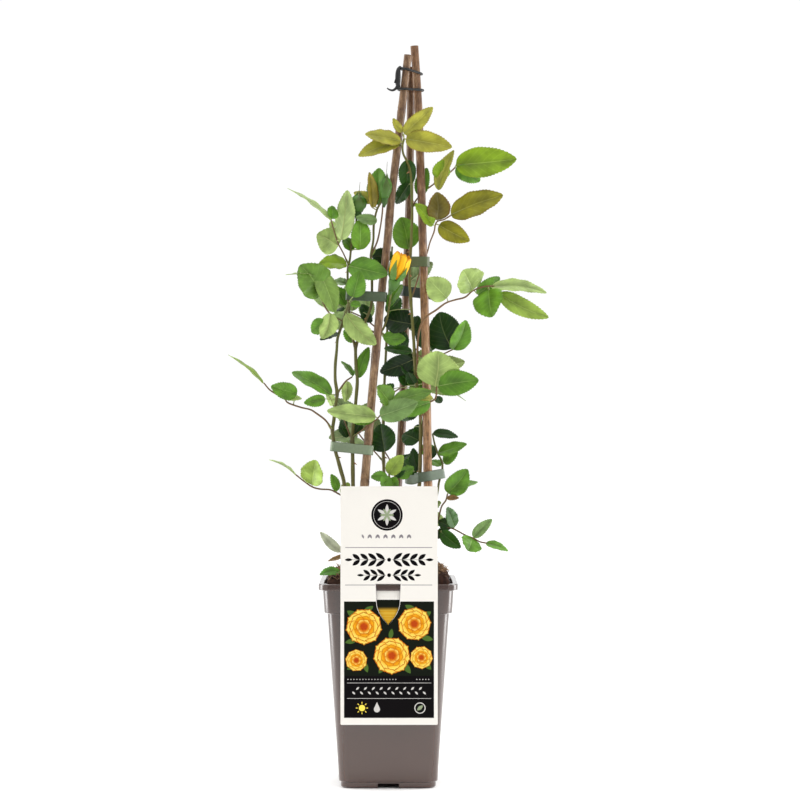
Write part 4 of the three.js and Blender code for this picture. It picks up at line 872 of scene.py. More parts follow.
def turnedSpots(x, z, turn, spots):  # a mark drawn round its own middle, turned and set in place
    return [(x + a * math.cos(turn) - b * math.sin(turn), z + a * math.sin(turn) + b * math.cos(turn))
            for a, b in spots]


def disc(x, z, rx, rz, count=32, turn=0):
    angles = [math.tau * k / count for k in range(count)]
    return turnedSpots(x, z, turn, [(rx * math.cos(angle), rz * math.sin(angle)) for angle in angles])


def leafMark(x, z, length, width, turn):  # a pointed printed leaf
    spots = []
    for k in range(12):
        t = k / 12
        spots.append((length * t, width / 2 * math.sin(math.pi * t) ** 0.8))
    for k in range(12):
        t = 1 - k / 12
        spots.append((length * t, -width / 2 * math.sin(math.pi * t) ** 0.8))
    spots = [spots[0]] + [s for s in spots[1:] if abs(s[1]) > 1e-6 or s[0] > length * 0.99]
    return turnedSpots(x, z, turn, spots)


def bar(x0, x1, z0, z1):
    return [(x0, z0), (x1, z0), (x1, z1), (x0, z1)]


def addPaintedPetal(skin, x, z, length, width, turn, depth, colours, finish):  # shaded from foot to edge
    rows = paintedBloom["petalShape"]
    foot, body, edge = colours
    start = len(skin["points"])
    for t, reach in rows:
        tint = blendColours(blendColours(foot, body, smoothStep(0, 0.6, t)), edge, smoothStep(0.6, 1, t))
        for u in (-1, -0.5, 0, 0.5, 1):
            spot = (length * (t - 0.06 * u * u), width / 2 * reach * u)
            px, pz = turnedSpots(x, z, turn, [spot])[0]
            shaded = tuple(v * (1 - 0.12 * abs(u)) for v in tint[:3]) + (1,)
            addPoint(skin, Vector((px, depth, pz)) * mm, shaded)
    for i in range(len(rows) - 1):
        for j in range(4):
            a = start + i * 5 + j
            addFace(skin, (a, a + 1, a + 6, a + 5), finish)


paintedBloom = {
    "amber": "#d97a14", "gold": "#f0ac1a", "lemon": "#fbe06a", "rust": "#b8440f",
    "ringTurn": 2.1, "petalWidth": 0.86,
    # share of the length, share of the width
    "petalShape": [(0, 0.3), (0.2, 0.52), (0.4, 0.76), (0.58, 0.95), (0.74, 1), (0.86, 0.88), (0.95, 0.58),
                   (1, 0.12)],
    "rings": [  # share of the radius, petals, colours from foot to edge
        (1, 9, ("rust", "gold", "lemon")), (0.8, 8, ("rust", "gold", "lemon")),
        (0.6, 7, ("rust", "amber", "gold")), (0.42, 6, ("rust", "amber", "lemon")),
        (0.26, 5, ("rust", "rust", "amber")),
    ],
}


def addPaintedBloom(skin, x, z, radius, depth, finish):
    paints = {name: toLinear(paintedBloom[name]) for name in ("amber", "gold", "lemon", "rust")}
    step = 0
    for share, petals, names in paintedBloom["rings"]:
        for k in range(petals):
            turn = math.tau * k / petals + share * paintedBloom["ringTurn"] + x
            # a dark rim behind each petal, then the petal
            for swell, shades in ((1.05, ("rust", "rust", "amber")), (1, names)):
                step += 1
                length = radius * share * swell
                addPaintedPetal(skin, x, z, length, length * paintedBloom["petalWidth"], turn,
                                depth - label["paintStep"] * step, [paints[name] for name in shades], finish)


def addTongue(skin, finish):  # the tongue cut out of the card, bent over the rim and painted below
    steps = 24
    y0, z0 = label["bend"][-1]
    tall = label["tip"] - z0
    low = [(y0 - label["tongueLean"] * (k / steps) ** 0.8, z0 + tall * k / steps) for k in range(steps + 1)]
    edge = tongueEdge(20)
    night = toLinear(inks["night"])
    # gold and lemon darkened as painted shade
    gold, lemon = toLinear(label["tongueGoldInShade"]), toLinear(label["tongueLemonInShade"])
    for course, ink in ((label["bend"], 0), (low, finish)):
        strips, tints = [], []
        for k, (y, z) in enumerate(course):
            ahead, behind = course[min(k + 1, len(course) - 1)], course[max(k - 1, 0)]
            heading = Vector((ahead[0] - behind[0], ahead[1] - behind[1])).normalized()
            out = Vector((-heading.y, heading.x)) * label["sheetHalf"]
            if z > label["shoulder"]:
                half = label["tongueHalf"] - (label["hinge"] - min(label["hinge"], z)) * 0.05
            else:
                half = max([abs(x) for x, edgeZ in edge if edgeZ <= z + 0.01] + [0.4])
            across = [0.25 * step - 1 for step in range(9)]
            ring = [Vector((side * half, y - out.x, z - out.y)) * mm for side in across]
            ring += [Vector((side * half, y + out.x, z + out.y)) * mm for side in reversed(across)]
            strips.append(ring)
            ripple = 0.5 + 0.5 * math.sin(z * 0.9 + 14 + 2.2 * math.cos(z))
            tints.append(blendColours(night, blendColours(gold, lemon, ripple), smoothStep(198, 193, z)))
        addRings(skin, strips, tints, ink)


# places on the card's face, in millimetres to the right of the pot's axis and above the ground;
# a row is its left end, height, pitch and, where it has one length, its count
labelArt = {
    "crest": (-1.25, 296.4), "crestLeaf": (11.5, 3.6), "crestInnerLeaf": (7.5, 2.6),
    "rules": [(-46, 47, 261.6), (-46, -14.2, 221.5), (14.2, 47, 221.5)], "chevrons": (-26, 271.2, 4.2, 13),
    "sprays": [(248.5, 4, 12), (232, 3, 10.5)],  # height, pairs of leaves, length of a leaf
    "panel": (-47.2, 49, 124.3, 203.9), "notch": 13.2, "footer": 79.4,
    "leaves": [(-44, 194, 19, -0.6), (-16, 199, 15, -2.5), (18, 200, 15, -0.5), (46, 193, 18, -2.6),
               (-44, 131, 17, 0.6), (-10, 127, 16, 1.0), (24, 127, 15, 2.2), (46, 131, 16, 2.3),
               (-46, 160, 13, 0.2), (48, 163, 14, 2.9), (-22, 128, 13, 1.9), (2, 163, 12, 1.4)],
    "blooms": [(-26, 177, 19), (28, 180, 17.5), (4, 146, 19.5), (-34, 141, 11.5), (35.5, 144, 12)],
    "lines": (116.8, 100.2), "dots": (-43, 120.6, 3.2), "twig": (-38.5, 108.5, 4.2, 19),
    "sun": (-28, 90), "drop": (-12, 88.6), "seal": (34, 90),
}


# the real label's wording and picture are left out: plain ornament stands in their place
def makeLabel():
    skin = newSkin()
    art = labelArt
    names = list(inks)
    front = label["front"]
    painted = 1 + len(names)

    def printed(ink, outline, holes=(), level=0):  # each level of ink stands a hair further out
        filledPlate(skin, outline, list(holes), front - 0.01 - label["inkStep"] * level, front + 0.05,
                    1 + names.index(ink))

    filledPlate(skin, cardEdge(), [tongueEdge()], front, label["back"], 0)
    addTongue(skin, painted)
    # a grey ring just inside the opening's edge: painted shadow round the tongue seen through it
    printed("rule", tongueEdge(20), [[(x * 0.975, z + 0.25 - 0.01 * (222 - z)) for x, z in tongueEdge(20)]])

    crestX, crestZ = art["crest"]
    printed("black", disc(crestX, crestZ, 16.8, 16.8, 64))
    printed("grey", disc(crestX, crestZ, 14.6, 14.6, 64), [disc(crestX, crestZ, 14.2, 14.2, 64)], 1)
    for k in range(6):
        printed("grey", leafMark(crestX, crestZ, *art["crestLeaf"], math.tau * k / 6 + 0.52), level=1)
        printed("sage", leafMark(crestX, crestZ, *art["crestInnerLeaf"], math.tau * k / 6), level=2)
    for left, right, z in art["rules"]:
        printed("rule", bar(left, right, z - 0.4, z + 0.4))
    startX, z, pitch, count = art["chevrons"]
    for k in range(count):  # leaves that lean together in pairs
        printed("rule", leafMark(startX + pitch * k, z, 5, 2.2, 1.1 if k % 2 else 2.0))
    for z, count, size in art["sprays"]:  # laurel sprays to the left and right of a dot
        for side in (-1, 1):
            reach = size * 0.74 * count
            heading = math.pi if side < 0 else 0
            stem = [(1 + side * 3.5, z - 0.25), (1 + side * (4 + reach), z - 0.12),
                    (1 + side * (4 + reach), z + 0.12), (1 + side * 3.5, z + 0.25)]
            printed("black", stem[::side])
            for k in range(count):
                x = 1 + side * (4.5 + size * 0.74 * k)
                for lean in (0.62, -0.62):
                    foot = z + 0.3 * math.copysign(1, lean)
                    turn = heading + side * lean
                    printed("black", leafMark(x, foot, size * (1 - 0.06 * k), size * 0.36, turn))
            printed("black", leafMark(1 + side * (3.6 + reach), z, size * 0.7, size * 0.26, heading))
        printed("black", disc(1, z, 2.1, 2.1, 20))
    mouth = [(x * 1.03, z) for x, z in tongueEdge(20) if z < label["shoulder"] + 0.5]
    left, right, low, high = art["panel"]
    notch = art["notch"]
    printed("night", [(left, low), (right, low), (right, high), (notch, high)] + mouth[::-1]
            + [(-notch, high), (left, high)])
    for x, z, length, turn in art["leaves"]:
        printed("leaf", leafMark(x, z, length, length * 0.42, turn), level=1)
    for x, z, radius in art["blooms"]:
        addPaintedBloom(skin, x, z, radius, front - 0.04, painted)
    printed("black", bar(left, right, art["footer"], low), level=1)
    for z in art["lines"]:
        printed("grey", bar(-44, 46, z - 0.22, z + 0.22), level=2)
    startX, z, pitch = art["dots"]
    for k in [*range(17), *range(23, 28)]:
        printed("grey", disc(startX + pitch * k, z, 0.6, 0.6, 8), level=2)
    startX, z, pitch, count = art["twig"]
    for k in range(count):
        side = 1 if k % 2 else -1
        printed("grey", leafMark(startX + pitch * k, z + 0.9 * side, 4.4, 1.9, 0.75 * side), level=2)
    sunX, sunZ = art["sun"]  # plain care signs: full sun, water, a leaf in its ring
    printed("lemon", disc(sunX, sunZ, 3.4, 3.4), level=2)
    for ray in range(8):
        turn = math.tau * ray / 8
        rayX, rayZ = sunX + 5.6 * math.cos(turn), sunZ + 5.6 * math.sin(turn)
        printed("lemon", disc(rayX, rayZ, 1.1, 0.5, 10, turn), level=2)
    dropX, dropZ = art["drop"]
    turns = [math.radians(30 - 12 * q) for q in range(21)]
    belly = [(dropX + 3.3 * math.cos(t), dropZ + 3.3 * math.sin(t)) for t in turns]
    printed("grey", [(dropX, dropZ + 7.8)] + belly, level=2)
    sealX, sealZ = art["seal"]
    printed("grey", disc(sealX, sealZ, 6, 6, 40), [disc(sealX, sealZ, 5, 5, 40)], 2)
    printed("sage", leafMark(sealX - 3, sealZ - 2.4, 8, 3.8, 0.7), level=2)
    finishes = [labelSheet] + list(inkSkins.values()) + [paintedInk]
    piece = makePiece("hanging_label", skin, finishes, smooth=False)
    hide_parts("plant_label")


makeLabel()
print("label made")


tones = {  # colour of the side that is seen, and a share of red at the margin; the dark tones deep, deepmid and black hold the leaf's own deep green and painted shade
    "young": ("#b6b43f", 0.35), "youngpale": ("#bcbe52", 0.25), "bright": ("#8db023", 0.1),
    "brightpale": ("#a2c050", 0.1), "olive": ("#98951a", 0.3), "bronze": ("#76691c", 0.5),
    "bronzegold": ("#a8993c", 0.5), "mid": ("#669a2a", 0.05), "deep": ("#1b4504", 0),
    "deepmid": ("#2b5c08", 0), "greyish": ("#80a35c", 0.05), "pale": ("#b2cd74", 0.05),
    "black": ("#0b2c02", 0), "dry": ("#8a6a3c", 0.2), "loose": ("#4f8c1e", 0),
    "silver": ("#bcd586", 0.05), "frost": ("#dde5c4", 0), "lightmid": ("#72a72a", 0.05),
    "fresh": ("#6f9a36", 0.05), "freshpale": ("#86a94c", 0.05),
}
faceTowards = {
    "front": (0, -1, 0.35), "lifted": (0, -0.75, 0.75), "turned": (0, 1, 0.25), "flat": (0, -0.1, 1),
    "rear": (0, 1, 0.6), "floor": (0.2, -0.6, 1),
}
blade = {
    "thickness": 0.34, "toothPitch": 2.5, "toothDepth": 0.62, "mostTeeth": 17, "fewestTeeth": 6,
    "toothShape": {0: -0.25, 0.42: 0.35, 0.8: 1},  # share of the tooth's pitch: how far its edge stands out
    "quilt": 0.011, "foldLeast": 0.15, "foldMost": 0.4, "archLeast": 0.03, "archMost": 0.09,
    "columns": [0, 0.05, 0.24, 0.44, 0.63, 0.81, 0.93, 1],
    "backOfFace": "#3c5f20", "underside": "#a3b57c", "margin": "#8a3f2c", "stalk": "#a9a76a",
}


def halfWidth(s):
    return 2.32 * max(0, s) ** 0.5 * max(0, 1 - s) ** 0.75


def addLeaflet(skin, root, base, tip, seenWidth, roll, tone, facing, draw):
    b = blade
    base, tip, root = Vector(base) * mm, Vector(tip) * mm, Vector(root) * mm
    axis = tip - base
    length = axis.length
    direction = axis.normalized()
    width = seenWidth * mm / math.cos(math.radians(roll))
    normal = Vector(faceTowards[facing])
    normal = (normal - direction * normal.dot(direction)).normalized()
    normal.rotate(Quaternion(direction, math.radians(roll)))
    side = direction.cross(normal)
    fold = draw.uniform(b["foldLeast"], b["foldMost"])
    arch = draw.uniform(b["archLeast"], b["archMost"]) * length
    twist = draw.uniform(-0.25, 0.25)
    sway = draw.uniform(-0.05, 0.05) * length
    waveTurn, waveCount = draw.uniform(0, math.tau), draw.uniform(2.2, 3.6)
    curl = draw.uniform(0.1, 0.35)
    seedSpot = Vector((draw.uniform(-50, 50), draw.uniform(-50, 50), 0))
    teeth = max(b["fewestTeeth"], min(b["mostTeeth"], round(length / mm / b["toothPitch"])))
    colour, red = tones[tone]
    seen, rosy = toLinear(colour), toLinear(b["margin"])
    if facing == "turned":
        top, under = blendColours(seen, toLinear(b["backOfFace"]), 0.65), seen
    else:
        top, under = seen, blendColours(seen, toLinear(b["underside"]), 0.6)
    rows = [(0.02 + 0.965 * (tooth + phase) / teeth, reach)
            for tooth in range(teeth) for phase, reach in b["toothShape"].items()]
    rows = [(0.0, 0)] + rows + [(0.985, b["toothShape"][0]), (1.0, 0)]
    shares = [s for s, _ in rows]
    toothReach = [draw.uniform(0.75, 1.2) for _ in rows]
    columns = [-c for c in reversed(b["columns"][1:])] + b["columns"]

    def surface(s, u):
        spread = abs(u)
        halfSpan = halfWidth(s) * width / 2
        out = spread * halfSpan
        angle = fold * (1 - curl * spread) * (1 - 0.35 * s)
        lift = out * math.sin(angle)
        phase = waveCount * math.tau * s + waveTurn + (1.3 if u > 0 else 0)
        wave = 0.055 * halfSpan * spread ** 2 * math.sin(phase)
        alongVeins = (s - leafFinish["slant"] * spread * 0.5) * leafFinish["veins"]
        swell = abs(math.sin(math.pi * alongVeins)) ** 0.7 * min(1, spread * 5) * (1 - spread ** 4)
        quilt = b["quilt"] * halfSpan * swell * 2.2
        turn = twist * (s - 0.4)
        drop = -0.4 * length * 0.12 * max(0, s - 0.55) ** 2 * 4
        local = Vector((math.copysign(out * math.cos(angle), u) if u else 0, lift + wave + quilt, 0))
        x = local.x * math.cos(turn) - local.y * math.sin(turn)
        z = local.x * math.sin(turn) + local.y * math.cos(turn)
        bow = math.sin(math.pi * s)
        spine = base + axis * s + normal * (arch * bow + drop * (1 - s)) + side * sway * bow
        return spine + side * x + normal * z

    grid = []
    for i, (s, tooth) in enumerate(rows):
        line = []
        for u in columns:
            point = surface(s, u)
            if abs(u) == 1 and 0 < i < len(rows) - 1:
                reach = min(1, 5 * s) * toothReach[i] * tooth * b["toothDepth"]
                size = min(1.6 * mm, 0.14 * width) * math.sin(math.pi * min(1, 0.12 + s * 0.88)) ** 0.35
                point = point + (math.copysign(1, u) * side * 0.75 + direction * 0.55) * reach * size
            line.append(point)
        grid.append(line)

    def tintAt(i, j, face):
        spread = abs(columns[j])
        shade = noise.noise(seedSpot + Vector((shares[i] * 3, columns[j] * 1.5, 0)))
        tint = under if face else top
        tint = tuple(max(0, c * (1 + 0.3 * shade - 0.3 * (1 - spread) ** 2)) for c in tint[:3]) + (1,)
        return blendColours(tint, rosy, red * smoothStep(0.86, 1, spread))

    addSheet(skin, grid, lambda i, j: b["thickness"] * mm * (1 - 0.45 * abs(columns[j]) ** 3), tintAt, (0, 1),
             lambda i, j: (columns[j], shares[i]), normal)
    # the midrib stands out beneath and runs back down the little stalk
    stalkColour = blendColours(under, toLinear(b["stalk"]), 0.5)
    stalkLength = (base - root).length
    bow = normal * -0.12 * stalkLength + up * 0.04 * stalkLength
    stalk = [root + (base - root) * t + bow * math.sin(math.pi * t) for t in (0, 0.25, 0.5, 0.75)]
    ribs = [surface(s, 0) - normal * b["thickness"] * mm * (0.75 - 0.4 * s)
            for s in (0, 0.12, 0.25, 0.4, 0.55, 0.7, 0.85, 0.97)]
    line = (stalk if stalkLength > 0.6 * mm else []) + ribs
    thick = min(0.75, 0.42 + 0.006 * length / mm) * mm
    ribStart = (len(line) - len(ribs)) / (len(line) - 1)

    def ribRadius(share):
        beyond = max(0, (share - ribStart) / (1 - ribStart))
        return thick * (1.15 - 0.25 * min(1, share / max(ribStart, 0.01))) * (1 - 0.8 * beyond)

    addTube(skin, line, ribRadius, 6, lambda s: stalkColour, 2)


stemColours = {
    "old": "#5d5a2a", "middle": "#566022", "young": "#66742a", "sunny": "#74502e", "stalk": "#664c2b",
    "scar": "#4c4128", "prickle": "#84503a", "prickleTip": "#c49a63", "stipule": "#7d8f42",
}
# radii at the foot: stout and prickly stems are thicker, a leafstalk is no thicker
stemSizes = {"stout": 1.4, "prickly": 1.2, "leafstalk": 1.25}
leafSkins = [leafTop, leafUnder, youngBark]


def nearestPoint(paths, point):
    return min((spot for path in paths for spot in path), key=lambda spot: (spot - point).length_squared)


def addPrickle(skin, place, out, down, size):  # broad at the foot, hooked towards the ground
    line = [place + out * size * reach + down * size * fall for reach, fall in
            ((-0.15, 0), (0.12, 0.02), (0.38, 0.08), (0.62, 0.2), (0.82, 0.36), (0.95, 0.52))]
    widths = [0.44, 0.36, 0.22, 0.13, 0.07, 0.015]
    rings = []
    for point, (tangent, _, _), width in zip(line, carriedFrames(line), widths):
        sideways = tangent.cross(down).normalized()
        tall = sideways.cross(tangent).normalized()
        rings.append([point + (sideways * math.cos(t) * 0.45 + tall * math.sin(t)) * width * size
                      for t in [math.tau * k / 8 for k in range(8)]])
    red, tip = toLinear(stemColours["prickle"]), toLinear(stemColours["prickleTip"])
    addRings(skin, rings, [blendColours(red, tip, k / 5) for k in range(6)], 2)


def addStipules(skin, path, radius, draw):  # two narrow wings along the foot of a leafstalk
    frames = carriedFrames(path)
    reach = min(len(path) - 1, 6)
    green = toLinear(stemColours["stipule"])
    start = draw.uniform(0, 1.0)
    for sign in (-1, 1):
        grid = []
        for i in range(reach):
            _, across, other = frames[i]
            out = across * math.cos(start) * sign + other * math.sin(start) * sign
            share = i / (reach - 1)
            width = (0.5 + 1.7 * math.sin(math.pi * (0.12 + 0.6 * share))) * mm * (1 - 0.75 * share ** 3)
            near = path[i] + out * (radius * mm * 0.7 + 0.9 * share ** 2 * mm)
            grid.append([near, near + out * width * 0.5, near + out * width])
        if sign < 0:
            grid = [row[::-1] for row in grid]
        addSheet(skin, grid, lambda i, j: 0.25 * mm, lambda i, j, face: green, (2, 2))


def makeShoot(piece, node, table, seed, moreLeaflets=(), extras=None, lit=1.0):
    draw = random.Random(seed)
    skin = newSkin()
    # lit scales the stem colours up: painted light where it is above 1
    old, middle, young, sunny, stalk = [tuple(c * lit for c in toLinear(stemColours[k])[:3]) + (1,)
                                        for k in ("old", "middle", "young", "sunny", "stalk")]
    stout, prickly, leafstalk = [stemSizes[k] for k in ("stout", "prickly", "leafstalk")]
    paths = [smoothPath(points, (2.2 if r0 > stout else 1.8) * mm) for r0, _, points in table["stems"]]
    starts = [path[0] for path in paths[1:]]
    for index, ((r0, r1, _), path) in enumerate(zip(table["stems"], paths)):
        length = pathLength(path)
        joints = []  # where side shoots leave this stem
        for start in starts if r0 > prickly else []:
            nearest = min(range(len(path)), key=lambda i: (path[i] - start).length_squared)
            if (path[nearest] - start).length < 3 * mm:
                joints.append(nearest / (len(path) - 1))
        phase = draw.uniform(0, 9)

        def radiusAt(share):
            bump = sum(math.exp(-(((share - joint) * length / 3.2) ** 2)) for joint in joints)
            wobble = 0.05 * math.sin(share * length * 0.21 + phase)
            flare = 0.35 * math.exp(-share * length / 2.5) if index else 0
            return (r0 + (r1 - r0) * share) * (1 + 0.2 * min(1, bump) + wobble + flare) * mm

        def tintAt(share):
            if r0 > stout:
                base = blendColours(old, middle, min(1, share * 1.6))
            else:
                base = blendColours(blendColours(middle, young, share), stalk, smoothStep(1.3, 0.9, r1))
            glow = 0.5 + 0.5 * noise.noise(Vector((share * length * 0.03, seed, index)))
            scar = sum(math.exp(-(((share - joint) * length / 1.6) ** 2)) for joint in joints)
            return blendColours(blendColours(base, sunny, 0.45 * glow), toLinear(stemColours["scar"]),
                                0.6 * min(1, scar))

        addTube(skin, path, radiusAt, 12 if r0 > stout else 9, tintAt, 2)
        if r0 > prickly:
            frames = carriedFrames(path)
            at = draw.uniform(20, 45)
            while at < length - 14:
                i = round(at / length * (len(path) - 1))
                tangent, across, other = frames[i]
                turn = draw.uniform(0, math.tau)
                out = across * math.cos(turn) + other * math.sin(turn)
                place = path[i] + out * radiusAt(at / length) * 0.92
                down = -tangent * draw.uniform(0.7, 1.2)
                addPrickle(skin, place, out, down, (2.2 + 1.7 * draw.random()) * (0.75 if r0 < 2 else 1) * mm)
                at += draw.uniform(22, 48)
        if index and r0 <= leafstalk:
            addStipules(skin, path, r0, draw)
    for base, tip, width, roll, tone, *facing in table["leaflets"] + list(moreLeaflets):
        root = nearestPoint(paths, Vector(base) * mm) / mm
        addLeaflet(skin, root, base, tip, width, roll, tone, facing[0] if facing else "front", draw)
    for base, tip, size in table.get("buds", ()):
        addGreenBud(skin, base, tip, size, draw)
    if extras:
        extras(skin)
    made = makePiece(piece, skin, leafSkins)
    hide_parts(node)


def feather(points, length, pairs, facing, tone):  # an end leaflet and pairs below it, along a leafstalk
    path = smoothPath(points, 0.5 * mm)
    tangent = (path[-1] - path[-4]).normalized()
    across = tangent.cross(Vector(faceTowards[facing]).normalized()).normalized()
    end = path[-1] / mm
    rows = [(end, end + tangent * length, length * 0.62, 0, tone, facing)]
    for pair in range(pairs):
        spot = path[round((0.86 - 0.34 * pair) * (len(path) - 1))] / mm
        size = length * (0.85 - 0.12 * pair)
        for sign in (1, -1):
            out = (across * sign + tangent * 0.55).normalized()
            base = spot + out * 2
            rows.append((base, base + out * size, size * 0.6, 0, tone, facing))
    return rows


def budAxes(base, tip):
    axis = (Vector(tip) - Vector(base)) * mm
    across = axis.cross(Vector((0, 1, 0))).normalized()
    deep = axis.cross(across).normalized()

    def spot(share, radius, angle):  # radius in millimetres
        out = across * math.cos(angle) + deep * math.sin(angle)
        return Vector(base) * mm + axis * share + out * radius * mm

    return spot


def valueAlong(table, at):
    for (s0, v0), (s1, v1) in zip(table, table[1:]):
        if at <= s1:
            t = max(0, (at - s0) / (s1 - s0))
            return v0 + (v1 - v0) * t * t * (3 - 2 * t) if s1 - s0 > 0.12 else v0 + (v1 - v0) * t
    return table[-1][1]


def addBudBody(skin, spot, table, sides, tints, finish):
    steps = 26
    rings, colours = [], []
    first, last = table[0][0], table[-1][0]
    for i in range(steps + 1):
        share = first + (last - first) * i / steps
        radius = valueAlong(table, share)
        rings.append([spot(share, radius * (1 + 0.02 * math.sin(5 * t)), t)
                      for t in [math.tau * k / sides for k in range(sides)]])
        colours.append(blendColours(tints[0], tints[1], i / steps))
    addRings(skin, rings[::-1], colours[::-1], finish)


def addSepal(skin, spot, middle, low, high, spanAt, radiusAt, lean, colours, thickness=0.55):
    rows, count = 18, 9
    grid = []
    for i in range(rows + 1):
        t = i / rows
        share = low + (high - low) * i / rows
        span = spanAt(t)
        row = []
        for j in range(count):
            u = 2 * j / (count - 1) - 1
            bent = share - 0.1 * u * u * (share - low)
            reach = radiusAt(share) + 0.35 * (1 - u * u) + lean * max(0, t - 0.6) ** 2
            row.append(spot(bent, reach, middle + u * span))
        grid.append(row)
    addSheet(skin, grid, lambda i, j: thickness * (1 - 0.5 * i / rows) * mm,
             lambda i, j, face: blendColours(colours[0], colours[1], min(1, i / rows * 1.1)), (2, 2))


greenBud = {
    "skin": "#4f8222", "shade": "#2a4d0e", "tip": "#3b3018", "blush": "#6f7a2c",
    # share of the way to the tip, radius for a bud of size 1: the bud itself, then the sepals round it
    "body": [(-0.1, 0.14), (0, 0.3), (0.07, 0.52), (0.18, 0.58), (0.28, 0.56), (0.38, 0.72), (0.54, 1.0),
             (0.7, 1.06), (0.84, 0.92), (0.95, 0.6), (1.02, 0.22)],
    "wrap": [(0.24, 0.58), (0.36, 0.72), (0.52, 1.02), (0.7, 1.1), (0.84, 0.97), (0.96, 0.62), (1.05, 0.26),
             (1.2, 0.13), (1.7, 0.1)],
    "longSepal": 1.62, "shortSepal": (1.06, 1.2),
}


def addGreenBud(skin, base, tip, size, draw):  # a round bud on its hip, in sepals, one of them with a tail
    spot = budAxes(base, tip)
    green, shade, dry, blush = [toLinear(greenBud[k]) for k in ("skin", "shade", "tip", "blush")]
    addBudBody(skin, spot, [(s, r * size) for s, r in greenBud["body"]], 24, (shade, green), 2)
    for k in range(5):
        tailed = k == 1
        high = greenBud["longSepal"] if tailed else draw.uniform(*greenBud["shortSepal"])
        narrowing = 2.1 if tailed else 1.5

        def spanAt(t):
            return 0.78 * max(0.06, math.cos(t * narrowing) if t * narrowing < 1.5 else 0) ** 0.8

        end = blendColours(blush if k % 2 else green, dry, 0.7 if tailed else 0.15)
        colours = blendColours(shade, green, 0.6), end
        addSepal(skin, spot, math.tau * k / 5 + 0.55, 0.26, high, spanAt,
                 lambda s: valueAlong(greenBud["wrap"], s) * size, 1.5, colours)


rosebud = {
    "base": (7, -27.5, 549.5), "tip": (16.5, -29, 578.5),
    "profile": [(0, 5), (0.15, 8.2), (0.35, 10), (0.6, 10.6), (0.8, 10.2), (1, 8.8), (1.2, 7)],
    # petals from outside in: middle angle in degrees from the left round the front, half angle, inset, top
    "petals": [(42, 0.74, 0.2, 1.05), (168, 0.72, 0.4, 0.93), (102, 0.62, 1.5, 1.02), (235, 0.8, 0.4, 0.98),
               (305, 0.8, 0.9, 1.0), (75, 0.85, 3.1, 1.0), (140, 0.85, 3.5, 0.99), (205, 0.85, 3.1, 0.97),
               (270, 0.85, 3.4, 0.96), (340, 0.85, 3.2, 0.98), (20, 1.0, 5.2, 0.97), (140, 1.0, 5.4, 0.95),
               (260, 1.0, 5.3, 0.96)],
    "core": [(0.02, 3), (0.2, 5.6), (0.5, 7), (0.75, 5), (0.9, 2.4)],
    "cup": [(-0.55, 1.1), (-0.43, 1.6), (-0.34, 3.9), (-0.22, 5.1), (-0.13, 6.2), (-0.03, 6.7),
            (-0.014, 6.6)],
    "sepalTops": [0.62, 0.72, 0.58, 0.5, 0.66],
    "deepYellow": "#e89a12", "yellow": "#f9bf14", "pale": "#fdd234", "orange": "#c96a10", "overlapShade": "#8a4508",
    "sepalShade": "#315412", "sepalGreen": "#4d7d1f", "sepalEdge": "#718f38",
}


def addSepalsAndCup(skin):
    spot = budAxes(rosebud["base"], rosebud["tip"])
    shade, green, edge = [toLinear(rosebud[k]) for k in ("sepalShade", "sepalGreen", "sepalEdge")]
    addBudBody(skin, spot, rosebud["cup"], 24, (shade, green), 2)
    for k, top in enumerate(rosebud["sepalTops"]):
        addSepal(skin, spot, math.tau * k / 5 - 0.12, -0.1, top,
                 lambda t: 0.54 * max(0.04, math.cos(t * 1.53)) ** 0.9,
                 lambda s: valueAlong(rosebud["profile"], max(s, 0)) + 0.5, 2.0,
                 (green, edge if k % 2 else green), 0.7)


def addPetal(skin, spot, draw, petal, paints):
    middle, half, inset, high = petal
    deep, yellow, pale, orange, overlapShade = paints
    rows, count = 26, 23
    wave, streak, ripple = [draw.uniform(0, 6) for _ in range(3)]
    peak = draw.uniform(-0.3, 0.3)
    grid = []
    for i in range(rows + 1):
        t = i / rows
        row = []
        for j in range(count):
            u = 2 * j / (count - 1) - 1
            outline = 1 - 0.2 * abs(u - peak) ** 1.4 + 0.02 * math.cos(5 * u + wave) * t
            share = 0.03 + (high - 0.03) * t * outline
            span = half * (0.5 + 0.5 * math.sin(min(1, t * 1.4) * math.pi / 2))
            widest = valueAlong(rosebud["profile"], max(share, 0))
            radius = widest - inset + 0.5 * u + 0.35 * math.sin(4 * u + ripple) * t
            radius += 8 * max(0, t - 0.8) ** 1.6 * (0.5 + 0.5 * math.cos(2 * u + wave))
            if inset > 2:  # the inner petals close over the middle
                radius -= 14 * max(0, t - 0.72) ** 1.5
            row.append(spot(share, max(0.8, min(radius, widest + 0.25)), math.radians(middle) + u * span))
        grid.append(row)

    def tintAt(i, j, face):
        t, u = i / rows, 2 * j / (count - 1) - 1
        base = blendColours(deep, yellow, smoothStep(0, 0.45, t))
        base = blendColours(base, pale, 0.6 * smoothStep(0.5, 0.95, t))
        vein = (0.5 + 0.5 * math.sin(9 * u + streak + 2 * t)) ** 2
        base = blendColours(base, orange, min(0.6, 0.3 * vein * (1 - 0.5 * t) + 0.05 * inset))
        base = blendColours(base, orange, 0.75 * smoothStep(0.9, 1, t))
        # darker along the side edges where the petals overlap: painted shade
        return blendColours(base, overlapShade, 0.7 * smoothStep(0.84, 1, abs(u)))

    addSheet(skin, grid, lambda i, j: 0.45 * mm, tintAt, (0, 0))


